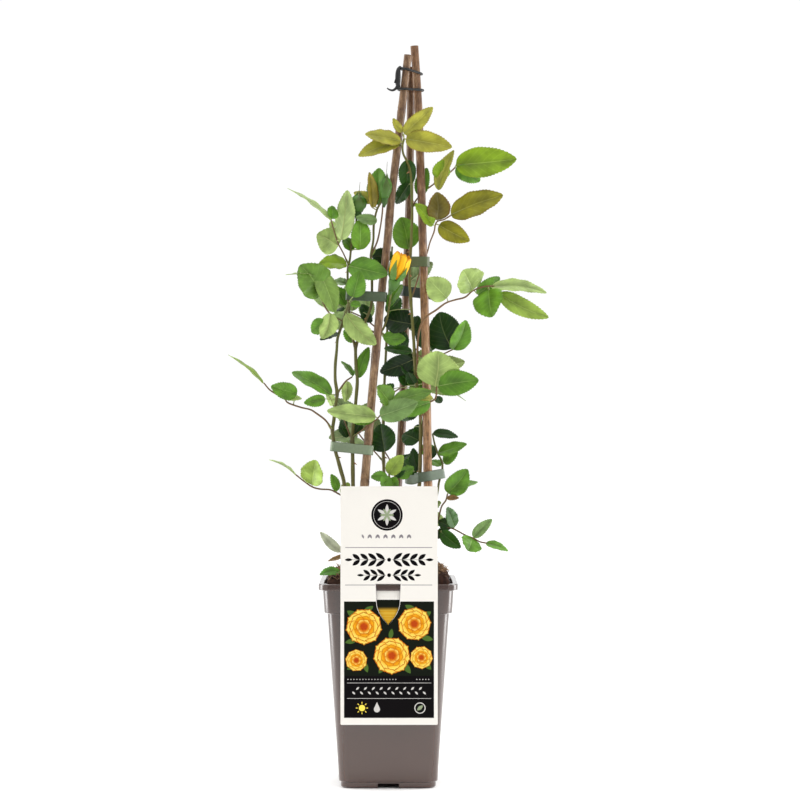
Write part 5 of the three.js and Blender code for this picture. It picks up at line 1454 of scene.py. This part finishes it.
def makePetals():
    skin = newSkin()
    draw = random.Random(11)
    spot = budAxes(rosebud["base"], rosebud["tip"])
    paints = [toLinear(rosebud[k]) for k in ("deepYellow", "yellow", "pale", "orange", "overlapShade")]
    addBudBody(skin, spot, rosebud["core"], 20, (paints[0], paints[3]), 0)
    for petal in rosebud["petals"]:
        addPetal(skin, spot, draw, petal, paints)
    piece = makePiece("opening_petals", skin, [petalSkin])
    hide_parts("rosebud_petals")


makePetals()
print("petals made")


# the rose's shoots, in millimetres
# stems: radius at the foot and at the end, path; buds: base, tip, radius
# leaflets: base, tip, width seen from the face, roll in degrees, tone, and facing where it isn't the front
shootLeft = {
    "stems": [
        (2.6, 1.4, [(-10, -2, 236), (-22, -9, 254), (-36, -16, 284), (-48, -22, 315.5), (-48.5, -23.5, 330),
            (-52, -24, 343), (-55, -24, 354), (-57.5, -24, 362.5), (-60, -24, 375.5), (-61, -24, 385.5),
            (-59.5, -23, 397.5), (-57.5, -22, 414), (-56, -21, 426), (-58, -20, 441), (-58, -19, 457.5),
            (-56.5, -18, 474), (-55.5, -18, 487), (-52, -19, 498), (-48.5, -20, 509), (-45, -22, 519.5),
            (-43, -25, 526)]),
        (1.1, 0.8, [(-61, -24, 385.5), (-68, -23, 396.5), (-79, -21, 405), (-84.5, -20, 408.5),
            (-96.5, -18, 411.5), (-111, -16, 417), (-113, -15, 420), (-129.5, -13, 430), (-136.5, -12, 438)]),
        (1.2, 0.8, [(-56, -21, 426), (-52, -17, 432.5), (-46.5, -12, 440), (-40, -8, 444.5)]),
        (0.9, 0.8, [(-49.5, -20, 505.5), (-60.5, -24, 511), (-66, -27, 516), (-71, -29, 525),
            (-74.5, -31, 535.5), (-77.5, -32, 549.5), (-77.5, -33, 557.5)]),
    ],
    "leaflets": [
        ((-73, -32, 533.5), (-95.5, -46, 565.5), 41, 8, "fresh"),
        ((-74.5, -33, 557.5), (-58, -40, 514.5), 24, -12, "freshpale"),
        ((-78.5, -33, 553), (-111.5, -46, 554.5), 20, 0, "pale", "flat"),
        ((-63.5, -27, 514), (-72, -33, 485.5), 19, 35, "pale", "turned"),
        ((-69, -22, 506.5), (-83.5, -16, 492.5), 17, -20, "mid"),
        ((-55, -18, 492.5), (-74.5, -26, 484.5), 14, 15, "deep", "lifted"),
        ((-46.5, -22, 513), (-13.5, -38, 479), 20, -35, "pale", "turned"),
        ((-38.5, -27, 531.5), (-31, -35, 559.5), 22, 10, "mid"),
        ((-40.5, -26, 525), (-30, -31, 521.5), 9, -10, "mid"),
        ((-49.5, -18, 516.5), (-55.5, -11, 519), 9, 25, "deep"),
        ((-137.5, -12, 438), (-176, -9, 469), 19, 0, "bright", "flat"),
        ((-100, -19, 426), (-128, -27, 434.5), 17, -30, "mid"),
        ((-112, -16, 421.5), (-94.5, -22, 420.5), 9, 5, "pale", "lifted"),
        ((-69, -22, 420.5), (-92, -29, 416), 12, -20, "mid"),
        ((-62.5, -20, 425), (-106, -8, 450), 21, 30, "mid"),
        ((-60.5, -21, 414), (-68.5, -14, 427), 11, -35, "pale", "turned"),
        ((-45.5, -10, 440), (-47.5, -6, 417), 12, 15, "pale", "turned"),
        ((-39, -8, 445.5), (-52, -2, 462), 13, 0, "mid", "flat"),
    ],
}

shootMiddle = {
    "buds": [((-34.5, -15.5, 619), (-32.5, -16.5, 643), 8.4), ((-4.5, -25, 632), (-2.6, -26, 661), 6.2)],
    "stems": [
        (2.6, 1.7, [(-4, -8, 236), (-13, -14, 258), (-26, -19, 290), (-38, -23, 310), (-38.5, -23.5, 324.5),
            (-39, -24, 358), (-39.5, -23.5, 375.5), (-38.5, -22, 392), (-36.5, -21, 408.5), (-35, -20, 425),
            (-34, -18, 441), (-35.5, -17, 457.5), (-36, -16, 474), (-36, -15.5, 479.5)]),
        (1.5, 1.1, [(-36, -15.5, 477.5), (-40, -14, 489.5), (-42, -12, 501.5), (-43, -11, 515.5),
            (-44, -11, 529), (-44.5, -12, 545), (-44.5, -13, 561.5), (-42, -14, 574.5), (-40, -14, 594.5),
            (-35.5, -14, 611), (-35, -15, 624)]),
        (1.6, 1.1, [(-36, -15.5, 477.5), (-31, -14.5, 491.5), (-24.5, -13.5, 507), (-19, -13, 522),
            (-18, -13, 545), (-19, -13, 578), (-16.5, -14, 594.5), (-16, -15, 610.5), (-12.5, -19, 627),
            (-7, -23, 637.5), (-5.5, -25, 644)]),
        (1, 0.8, [(-19, -13, 578), (-12.5, -16, 592), (-9, -20, 607), (-7, -24, 620), (-6, -24, 633)]),
        (0.8, 0.7, [(-43, -13, 566), (-49.5, -17, 580), (-55, -20, 590.5), (-59.5, -23, 604.5),
            (-62.5, -25, 615.5)]),
        (0.9, 0.8, [(-38.5, -23, 379), (-34, -27, 382.5), (-28.5, -32, 386.5), (-20, -36, 393.5),
            (-12.5, -38, 398.5), (-3.5, -38, 409.5), (3, -38, 416)]),
        (1.2, 1.2, [(-26.5, -14, 500.5), (-19, -9, 495), (-9.5, -7, 493), (-2, -10, 507), (0.5, -16, 521),
            (2, -24, 530.5), (3, -26.5, 535)]),
        (1, 0.8, [(-39.5, -23.5, 373.5), (-43, -20, 383.5), (-47.5, -16, 395), (-49.5, -14, 399.5)]),
    ],
    "leaflets": [
        ((-62.5, -25, 615.5), (-111, -10, 651.5), 20, 0, "pale", "flat"),
        ((-51.5, -21, 594), (-44.5, -27, 648), 21, -30, "silver", "turned"),
        ((-55, -17, 587.5), (-78.5, -10, 601), 31, 10, "pale", "turned"),
        ((-61.5, -22, 617), (-60.5, -16, 631.5), 12, 35, "mid"),
        ((-59.5, -22, 606), (-63, -17, 615), 7, -20, "pale"),
        ((-17, -18, 629), (-21, -23, 668), 12, 30, "bronzegold"),
        ((-10.5, -17, 632.5), (-10.5, -13, 673.5), 23, -35, "mid"),
        ((-19, -12, 635), (-38, -6, 647.5), 14, 15, "young"),
        ((-12.5, -18, 615), (-35.5, -26, 618.5), 12, -10, "greyish"),
        ((-31.5, -17, 583.5), (-30, -22, 618), 21, 25, "lightmid"),
        ((-40, -13, 582.5), (-49, -7, 598), 14, 20, "mid"),
        ((-43, -16, 566), (-0.5, -28, 555.5), 29, -10, "mid"),
        ((-45.5, -15, 567), (-76, -20, 568), 26, 5, "bright", "lifted"),
        ((-45.5, -10, 545.5), (-63, -2, 549), 13, 35, "greyish"),
        ((-46.5, -6, 523.5), (-60, -1, 543.5), 16, 0, "mid"),
        ((-18, -7, 577.5), (5, 3, 579), 16, 30, "deep"),
        ((-37.5, -12, 483), (-49, -8, 496), 9, -35, "mid"),
        ((-24.5, -9, 510.5), (-29, -4, 524.5), 12, 15, "deep"),
        ((-33.5, -12, 443.5), (-21.5, -8, 477.5), 14, -10, "mid"),
        ((-29, -10, 515.5), (-18, -4, 505), 10, 25, "deep"),
        ((-13.5, -38, 401), (-66.5, -46, 407.5), 24, 20, "pale"),
        ((-15.5, -37, 398.5), (-41.5, -33, 397.5), 14, -15, "mid", "lifted"),
        ((-9, -39, 402), (32, -47, 417), 24, 10, "greyish"),
        ((2, -38, 416), (-12, -44, 434.5), 24, 35, "fresh"),
        ((4, -38, 417), (47.5, -32, 429), 19, -20, "fresh"),
        ((3, -36, 423.5), (-8, -33, 435.5), 9, 30, "deep"),
        ((0.5, -14, 521), (15, -4, 546.5), 14, -35, "mid"),
        ((-6, -6, 488.5), (19, 0, 486.5), 15, 15, "mid"),
        ((-46.5, -17, 388.5), (-52, -12, 397.5), 9, -10, "deep"),
        ((-45, -19, 378), (-53, -12, 393), 10, 25, "deep"),
        ((-37.5, -18, 382), (-30, -12, 397.5), 10, 20, "deep"),
    ],
}

shootRight = {
    "stems": [
        (2.4, 1.2, [(6, -2, 236), (14, -6, 262), (24, -9, 294), (33.5, -9, 324), (34.5, -8, 342.5),
            (35, -7, 364.5), (35.5, -6.5, 386.5), (35, -6.5, 403), (32.5, -7, 419.5), (30, -7, 441),
            (29, -7, 457.5), (28, -7, 479.5), (26.5, -7, 501.5), (24.5, -7, 529), (23, -8, 551),
            (24, -8.5, 573), (25, -8, 595), (26, -7, 622.5), (25.5, -6.5, 644.5), (24, -6.5, 669.5),
            (20.5, -6, 680.5), (16, -9, 690), (15.5, -14, 698.5), (17, -18, 704.5)]),
        (0.9, 0.8, [(24.5, -7, 529), (30.5, 1, 547), (36, 7, 565), (42.5, 7, 581.5), (45.5, 4, 592.5),
            (50, 0, 604), (53, -3, 615), (61, -4, 617.5), (68.5, -5, 622)]),
        (0.9, 0.8, [(26, -6, 632), (32.5, 4, 642), (41.5, 6, 651), (49, 4, 656.5), (54.5, 2, 661),
            (64.5, 0, 667), (73, -2, 674.5)]),
        (1.3, 0.8, [(30, -7, 439), (31.5, -8.5, 457.5), (32, -11, 479.5), (33, -15, 491.5),
            (36.5, -18, 503.5), (43, -19, 511.5), (52, -17, 517.5), (63, -14, 525.5), (73, -12, 529),
            (84, -10, 532), (92.5, -10, 539), (102.5, -11, 543), (113.5, -12, 544), (123.5, -12, 542)]),
        (1, 0.9, [(35.5, -6.5, 393), (36.5, -13, 403), (39, -18, 410.5), (44.5, -20, 416.5), (51, -19, 420.5),
            (52.5, -20, 430), (52.5, -20, 434.5)]),
        (0.9, 0.8, [(28.5, -7, 468.5), (34.5, 2, 467.5), (45.5, 4, 468), (60, 1, 470), (70, -1, 474.5)]),
    ],
    "leaflets": [
        ((13.5, -19, 702), (-25.5, -30, 708.5), 21, 20, "young"),
        ((12.5, -19, 701), (-33, -26, 685), 20, -15, "young", "lifted"),
        ((19, -18, 704.5), (69.5, -28, 694.5), 24, 10, "young"),
        ((17, -19, 710), (48.5, -26, 738.5), 15, 35, "young"),
        ((15, -19, 712), (5, -24, 726.5), 8, -20, "young"),
        ((13.5, -18, 698), (-3.5, -22, 692), 8, 30, "deep"),
        ((21.5, -5, 683), (20, 6, 651), 19, -15, "deepmid"),
        ((22.5, -2, 656.5), (8, 5, 635.5), 16, 15, "deep"),
        ((22.5, 3, 585.5), (14, 12, 621.5), 31, 0, "lightmid"),
        ((34.5, 5, 644), (42.5, 8, 675.5), 16, 0, "mid"),
        ((54.5, 1, 663.5), (60, -4, 683), 19, 20, "bright"),
        ((54.5, 1, 650.5), (72, -8, 693.5), 16, -30, "youngpale"),
        ((74, -2, 677.5), (140.5, -14, 683), 34, 10, "bright"),
        ((74, -2, 674.5), (101, 6, 660.5), 16, 35, "mid"),
        ((53.5, -3, 617), (53, -9, 647.5), 26, 20, "bronze"),
        ((49, -5, 611.5), (29, -18, 633.5), 19, 20, "bright"),
        ((68.5, -5, 622.5), (125.5, -16, 643.5), 32, -12, "olive"),
        ((55.5, -4, 611.5), (89, -16, 593), 21, 15, "olive"),
        ((64, -15, 531), (43, -22, 552.5), 28, -10, "pale"),
        ((92.5, -11, 540), (81.5, -18, 561.5), 37, 25, "pale"),
        ((97, -9, 535.5), (122.5, 0, 554.5), 16, 20, "mid"),
        ((112.5, -12, 543), (173, -22, 536), 19, -30, "pale"),
        ((121, -11, 535.5), (175, -22, 509), 20, 10, "brightpale"),
        ((110, -13, 539.5), (113, -26, 509.5), 32, 35, "lightmid"),
        ((70, 3, 475.5), (56, 13, 516.5), 38, -20, "deep"),
        ((71, -2, 474.5), (85, -10, 507), 20, 30, "mid"),
        ((51, -21, 434.5), (54, -34, 472.5), 47, -8, "pale", "turned"),
        ((54, -20, 434.5), (98.5, -28, 441), 27, 15, "mid"),
        ((54, -19, 431.5), (85, -12, 418), 10, 0, "greyish", "flat"),
        ((53, -17, 423.5), (57.5, -11, 416), 8, 25, "deep"),
        ((48.5, -20, 421.5), (29, -27, 420.5), 9, 20, "youngpale"),
        ((45.5, -21, 417), (9.5, -31, 403), 16, -30, "mid"),
        ((33.5, -3, 406), (14, 4, 397.5), 15, 10, "deep"),
        ((24.5, -3, 503), (-5, 6, 509.5), 32, 8, "black"),
        ((27, -3, 463.5), (-9.5, 6, 450), 21, -20, "black"),
        ((28, -3, 441.5), (12.5, 6, 465.5), 15, 30, "deep"),
        ((29, -8, 437), (21.5, -12, 450), 10, -35, "deep"),
        ((33.5, -4, 374.5), (16, 5, 382), 26, 15, "deep"),
        ((33.5, -5, 340), (27, 1, 366.5), 13, -10, "deep"),
        ((48, 12, 473.5), (32.5, 16, 504.5), 26, 25, "deep"),
        ((26, 4, 472), (-5, 10, 476.5), 13, 20, "deepmid"),
        ((39, 2, 437), (19.5, 6, 450), 19, -30, "mid"),
        ((23.5, 1, 442.5), (11.5, 6, 465.5), 15, 10, "deepmid"),
    ],
}

shootLowRight = {
    "stems": [
        (1.7, 1, [(9, 1, 238), (24, 3, 252), (40, 2, 282), (53, -3, 314), (55.5, -4, 329), (59, -5, 342.5),
            (59, -5, 351), (54.5, -4, 360), (50.5, -3, 372), (48.5, -3, 382)]),
    ],
    "leaflets": [
        ((49, -4, 383), (76.5, -8, 378.5), 12, 10, "deep", "lifted"),
        ((54.5, -5, 361), (86, -14, 371), 17, -30, "mid"),
        ((61, -6, 350), (76, -12, 362.5), 12, 10, "mid"),
        ((57.5, -3, 347), (47, 3, 353), 12, 35, "mid"),
        ((50, -1, 368.5), (47, 3, 354.5), 9, -20, "deep"),
    ],
}

twigLowRight = {
    "stems": [
        (1.4, 0.8, [(10, -5, 238), (26, -5, 250), (41, -5.5, 266), (54.5, -11, 289), (56.5, -15, 297),
            (58.5, -16, 303.5), (63, -17, 310), (64.5, -18, 316.5)]),
        (0.9, 0.8, [(41, -5.5, 266), (54.5, -11, 276), (67.5, -17, 279.5), (76, -18, 276), (83.5, -19, 272),
            (92.5, -20, 268.5), (100, -20, 264.5), (107.5, -20, 263)]),
    ],
    "leaflets": [
        ((65, -18, 317.5), (86.5, -26, 344), 23, 20, "mid"),
        ((66, -17, 320), (98, -10, 329.5), 14, -15, "mid", "lifted"),
        ((64, -18, 312), (77, -22, 312.5), 6, 10, "dry"),
        ((72.5, -18, 280.5), (64, -24, 302.5), 15, 35, "deepmid"),
        ((69.5, -17, 280.5), (54.5, -10, 286.5), 13, -20, "deep"),
        ((57.5, -16, 275), (79, -22, 258), 14, 30, "deepmid"),
        ((91.5, -20, 268.5), (86.5, -27, 255), 23, -35, "mid"),
        ((92.5, -20, 269.5), (113, -26, 289.5), 12, 15, "greyish"),
        ((106.5, -20, 263), (130.5, -24, 254.5), 12, -5, "mid", "lifted"),
        ((61, -16, 277), (53, -10, 268), 10, 25, "deep"),
    ],
}

twigLowMiddle = {
    "stems": [
        (1.45, 0.9, [(1, -7, 238), (2, -17, 256), (3, -25, 290), (3, -27, 318), (2, -27, 332),
            (0.5, -27, 338.5)]),
        (1, 0.8, [(3, -27, 325.5), (7, -20, 338.5), (1.5, -12, 353.5), (-4, -8, 362.5)]),
    ],
    "leaflets": [
        ((0.5, -28, 338.5), (16, -35, 359.5), 16, 20, "brightpale"),
        ((-0.5, -28, 336.5), (-6, -33, 322.5), 15, -30, "mid"),
        ((-0.5, -27, 334.5), (-19, -32, 335.5), 13, 10, "mid"),
        ((3, -27, 334.5), (9.5, -31, 322.5), 13, 35, "mid"),
        ((-4, -8, 362.5), (-8.5, 0, 393), 30, -20, "deep"),
        ((9, -19, 336.5), (28, -14, 346), 12, 30, "mid"),
        ((5, -15, 346), (24.5, -6, 360), 9, -35, "deep"),
        ((8.5, -21, 334), (17, -14, 352.5), 9, 15, "deep"),
    ],
}

twigLowLeft = {
    "stems": [
        (1.3, 0.8, [(-9, 5, 238), (-24, 2, 256), (-42, -8, 284), (-49.5, -16, 313), (-56, -17, 317.5),
            (-63, -17.5, 321), (-75, -18, 322), (-82.5, -18, 324), (-91, -18, 329.5), (-101, -18, 337.5)]),
        (1.1, 0.8, [(-24, 2, 256), (-37, -8, 256), (-49.5, -18, 252), (-53, -19, 253.5)]),
    ],
    "leaflets": [
        ((-101, -18, 337.5), (-130.5, -20, 354), 15, 0, "pale", "flat"),
        ((-83.5, -18, 326.5), (-79, -26, 354), 27, -30, "brightpale"),
        ((-56, -17, 320), (-62.5, -22, 338.5), 10, 10, "mid"),
        ((-52, -15, 316.5), (-43, -10, 328.5), 10, 35, "brightpale"),
        ((-52, -19, 253.5), (-74.5, -24, 275.5), 10, -20, "frost"),
        ((-47.5, -18, 249), (-66, -22, 243.5), 6, 30, "dry"),
    ],
}

shootBack = {
    "stems": [
        (2.2, 1.1, [(1, 7, 238), (-1, 18, 262), (-4, 27, 310), (-6, 31, 370), (-5, 34, 430), (-2, 35, 490),
            (1, 33, 545), (4, 30, 590)]),
        (0.9, 0.8, [(-5, 30, 350), (-16, 38, 362), (-29, 43, 376), (-38, 46, 388)]),
        (0.9, 0.8, [(-5, 34, 420), (12, 44, 432), (30, 46, 442), (46, 44, 448)]),
        (0.9, 0.8, [(-2, 35, 488), (-14, 42, 500), (-30, 44, 512), (-48, 42, 520)]),
        (0.9, 0.8, [(0, 34, 525), (10, 40, 540), (24, 44, 552)]),
        (0.9, 0.8, [(-3, 24, 296), (8, 26, 298), (24, 34, 296), (38, 42, 290)]),
    ],
    "leaflets": [],
}

rearLeaves = []
for stem, leafLength, leafPairs in ((1, 42, 2), (2, 42, 1), (3, 42, 2), (4, 34, 1), (5, 32, 1)):
    leafTone = ("mid", "deepmid", "bright")[stem % 3]
    rearLeaves += feather(shootBack["stems"][stem][2], leafLength, leafPairs, "rear", leafTone)
innerLeaves = [  # small leaflets crowded in between the canes, dark with their own deep green and painted shade
    ((16, 16, 472.4), (4.9, 20, 499.1), 23, -20, "deep"),
    ((18.2, 6, 434.7), (12.7, 9, 465.7), 17, 15, "deepmid"),
    ((-7.2, 2, 428.1), (6, 4, 436.9), 10, 30, "deepmid"),
    ((30.3, 2, 337.8), (16, 4, 354.3), 14, -35, "deepmid"),
    ((34.7, 6, 360.9), (50.2, 8, 368.6), 13, -20, "mid"),
    ((27, 8, 449.1), (21.5, 10, 472.3), 14, 15, "deep"),
    ((-2.8, 6, 516.3), (13.8, 10, 531.9), 15, 30, "deepmid"),
    ((31.4, 6, 423.7), (42.4, 8, 441.4), 14, -35, "deep"),
    ((11.5, 6, 342.1), (22.6, 8, 356.4), 14, -20, "mid"),
    ((28.1, 4, 389.6), (42.4, 6, 381.8), 13, 15, "deepmid"),
    ((23.7, 8, 496.5), (33.6, 10, 512), 13, 30, "deep"),
]
makeShoot("shoot_left", "rose_shoot_left", shootLeft, 21)
makeShoot("shoot_middle", "rose_shoot_middle", shootMiddle, 22, extras=addSepalsAndCup)
# this shoot's stems made 1.35 times lighter: painted light
makeShoot("shoot_right", "rose_shoot_right", shootRight, 23, innerLeaves, lit=1.35)
makeShoot("shoot_back", "rose_shoot_back", shootBack, 24, rearLeaves)
makeShoot("shoot_low_right", "rose_shoot_low_right", shootLowRight, 25)
makeShoot("twig_low_right", "rose_twig_low_right", twigLowRight, 26)
makeShoot("twig_low_middle", "rose_twig_low_middle", twigLowMiddle, 27)
makeShoot("twig_low_left", "rose_twig_low_left", twigLowLeft, 28)
print("shoots made")


crown = {
    # x, y, height and radius, up the root shank to its knobbly top
    "shank": [(0, 0, 130, 1.5), (0.5, 0, 165, 4), (0, 0, 195, 6), (0, -0.5, 214, 7.5), (0, -1, 226, 10.5),
              (0, -1, 233, 12), (0, -1, 240, 10.5), (0, -1, 244, 6)],
    "sides": 36, "brown": "#5b432c", "green": "#6d6038", "greenFrom": 232,
}


def makeCrown():
    skin = newSkin()
    brown, green = toLinear(crown["brown"]), toLinear(crown["green"])
    rings, tints = [], []
    for (x0, y0, z0, r0), (x1, y1, z1, r1) in zip(crown["shank"], crown["shank"][1:]):
        steps = 8 if z0 > 200 else 3
        for k in range(steps):
            t = k / steps
            z = z0 + (z1 - z0) * t
            radius = r0 + (r1 - r0) * t
            ring = []
            for j in range(crown["sides"]):
                turn = math.tau * j / crown["sides"]
                x, y = math.cos(turn), math.sin(turn)
                lump = 0.1 * math.sin(3 * turn + z / 6) + 0.12 * noise.noise(Vector((x * 2, y * 2, z * 0.2)))
                lump += 0.05 * noise.noise(Vector((x * 7, y * 7, z * 0.7)))
                reach = radius * (1 + lump)
                ring.append(Vector((x0 + (x1 - x0) * t + x * reach, y0 + (y1 - y0) * t + y * reach, z)) * mm)
            rings.append(ring)
            tints.append(blendColours(brown, green, max(0, (z - crown["greenFrom"]) / 14)))
    top = rings[-1]
    middle = sum(top, Vector()) / len(top)
    for shrink, rise in ((0.75, 1.2), (0.45, 1.9), (0.15, 2.2)):
        rings.append([middle + (p - middle) * shrink + up * rise * mm for p in top])
        tints.append(tints[-1])
    addRings(skin, rings, tints)
    piece = makePiece("graft_union", skin, [oldBark])
    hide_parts("rose_crown")


makeCrown()


fallenLeaf = {"stalkEnd": (-48, -48, 234), "base": (-52, -50, 234), "tip": (-74, -56, 231), "width": 15}


def makeFallenLeaf():
    leaf = fallenLeaf
    skin = newSkin()
    addLeaflet(skin, leaf["stalkEnd"], leaf["base"], leaf["tip"], leaf["width"], 0, "loose", "floor",
               random.Random(9))
    piece = makePiece("loose_leaflet", skin, leafSkins)
    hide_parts("fallen_leaf")


makeFallenLeaf()
print("crown and fallen leaf made")


# soft white room: bright behind and overhead, quieter on the camera's side so that dark prints stay dark
studio = {
    "front": 0.56, "back": 1.02, "overhead": 1.15, "floor": "#fbfbfa", "floorReach": 6,
    "cameraPlace": (0.01265, -2.7, 0.4193), "lens": 110.45, "sensor": 36, "aim": (0, 0, 0.4),
    "softboxes": {
        "key": {"place": (1.5, -1.7, 1.7), "size": (0.9, 1.1), "power": 6},
        "right_strip": {"place": (0.8, 0.06, 0.42), "size": (0.34, 0.84), "power": 5.8},
        "left_strip": {"place": (-0.8, 0.06, 0.42), "size": (0.34, 0.84), "power": 5.4},
    },
}


def makeStage():
    plane = bpy.data.meshes.new("floor")
    reach = studio["floorReach"]
    corners = [(-reach, -reach, 0), (reach, -reach, 0), (reach, reach, 0), (-reach, reach, 0)]
    plane.from_pydata(corners, [], [(0, 1, 2, 3)])
    floor = bpy.data.objects.new("floor", plane)
    bpy.context.scene.collection.objects.link(floor)
    material, _, shader, _ = startMaterial("matt studio floor, near white", {"Roughness": 0.9, "IOR": 1.3})
    shader.inputs["Base Color"].default_value = toLinear(studio["floor"])
    plane.materials.append(material)


def makeWorld():
    world = bpy.data.worlds.new("studio")
    world.use_nodes = True
    tree = world.node_tree
    room = tree.nodes["Background"]
    room.inputs["Color"].default_value = white
    heading = addNode(tree, "ShaderNodeTexCoord", {}).outputs["Generated"]
    parts = addNode(tree, "ShaderNodeSeparateXYZ", {0: heading})
    wall = addRange(tree, parts.outputs["Y"], -0.1, 0.85, studio["front"], studio["back"])
    ceiling = addRange(tree, parts.outputs["Z"], 0.3, 0.95, 0, studio["overhead"])
    tree.links.new(addMaths(tree, "ADD", wall, ceiling), room.inputs["Strength"])
    bpy.context.scene.world = world


def addSoftbox(name, box):
    light = bpy.data.lights.new(name, "AREA")
    light.shape, light.energy = "RECTANGLE", box["power"]
    light.size, light.size_y = box["size"]
    lamp = bpy.data.objects.new(name, light)
    lamp.location = box["place"]
    lamp.rotation_euler = (Vector(studio["aim"]) - Vector(box["place"])).to_track_quat("-Z", "Y").to_euler()
    bpy.context.scene.collection.objects.link(lamp)


makeStage()
makeWorld()
for boxName, boxFacts in studio["softboxes"].items():
    addSoftbox(boxName, boxFacts)
camera = bpy.data.cameras.new("camera")
camera.sensor_width, camera.lens = studio["sensor"], studio["lens"]
viewer = bpy.data.objects.new("camera", camera)
viewer.location = studio["cameraPlace"]
viewer.rotation_euler = (math.pi / 2, 0, 0)
bpy.context.scene.collection.objects.link(viewer)
bpy.context.scene.camera = viewer
bpy.context.scene.view_settings.view_transform = "Standard"
bpy.context.view_layer.update()
print("stage made")
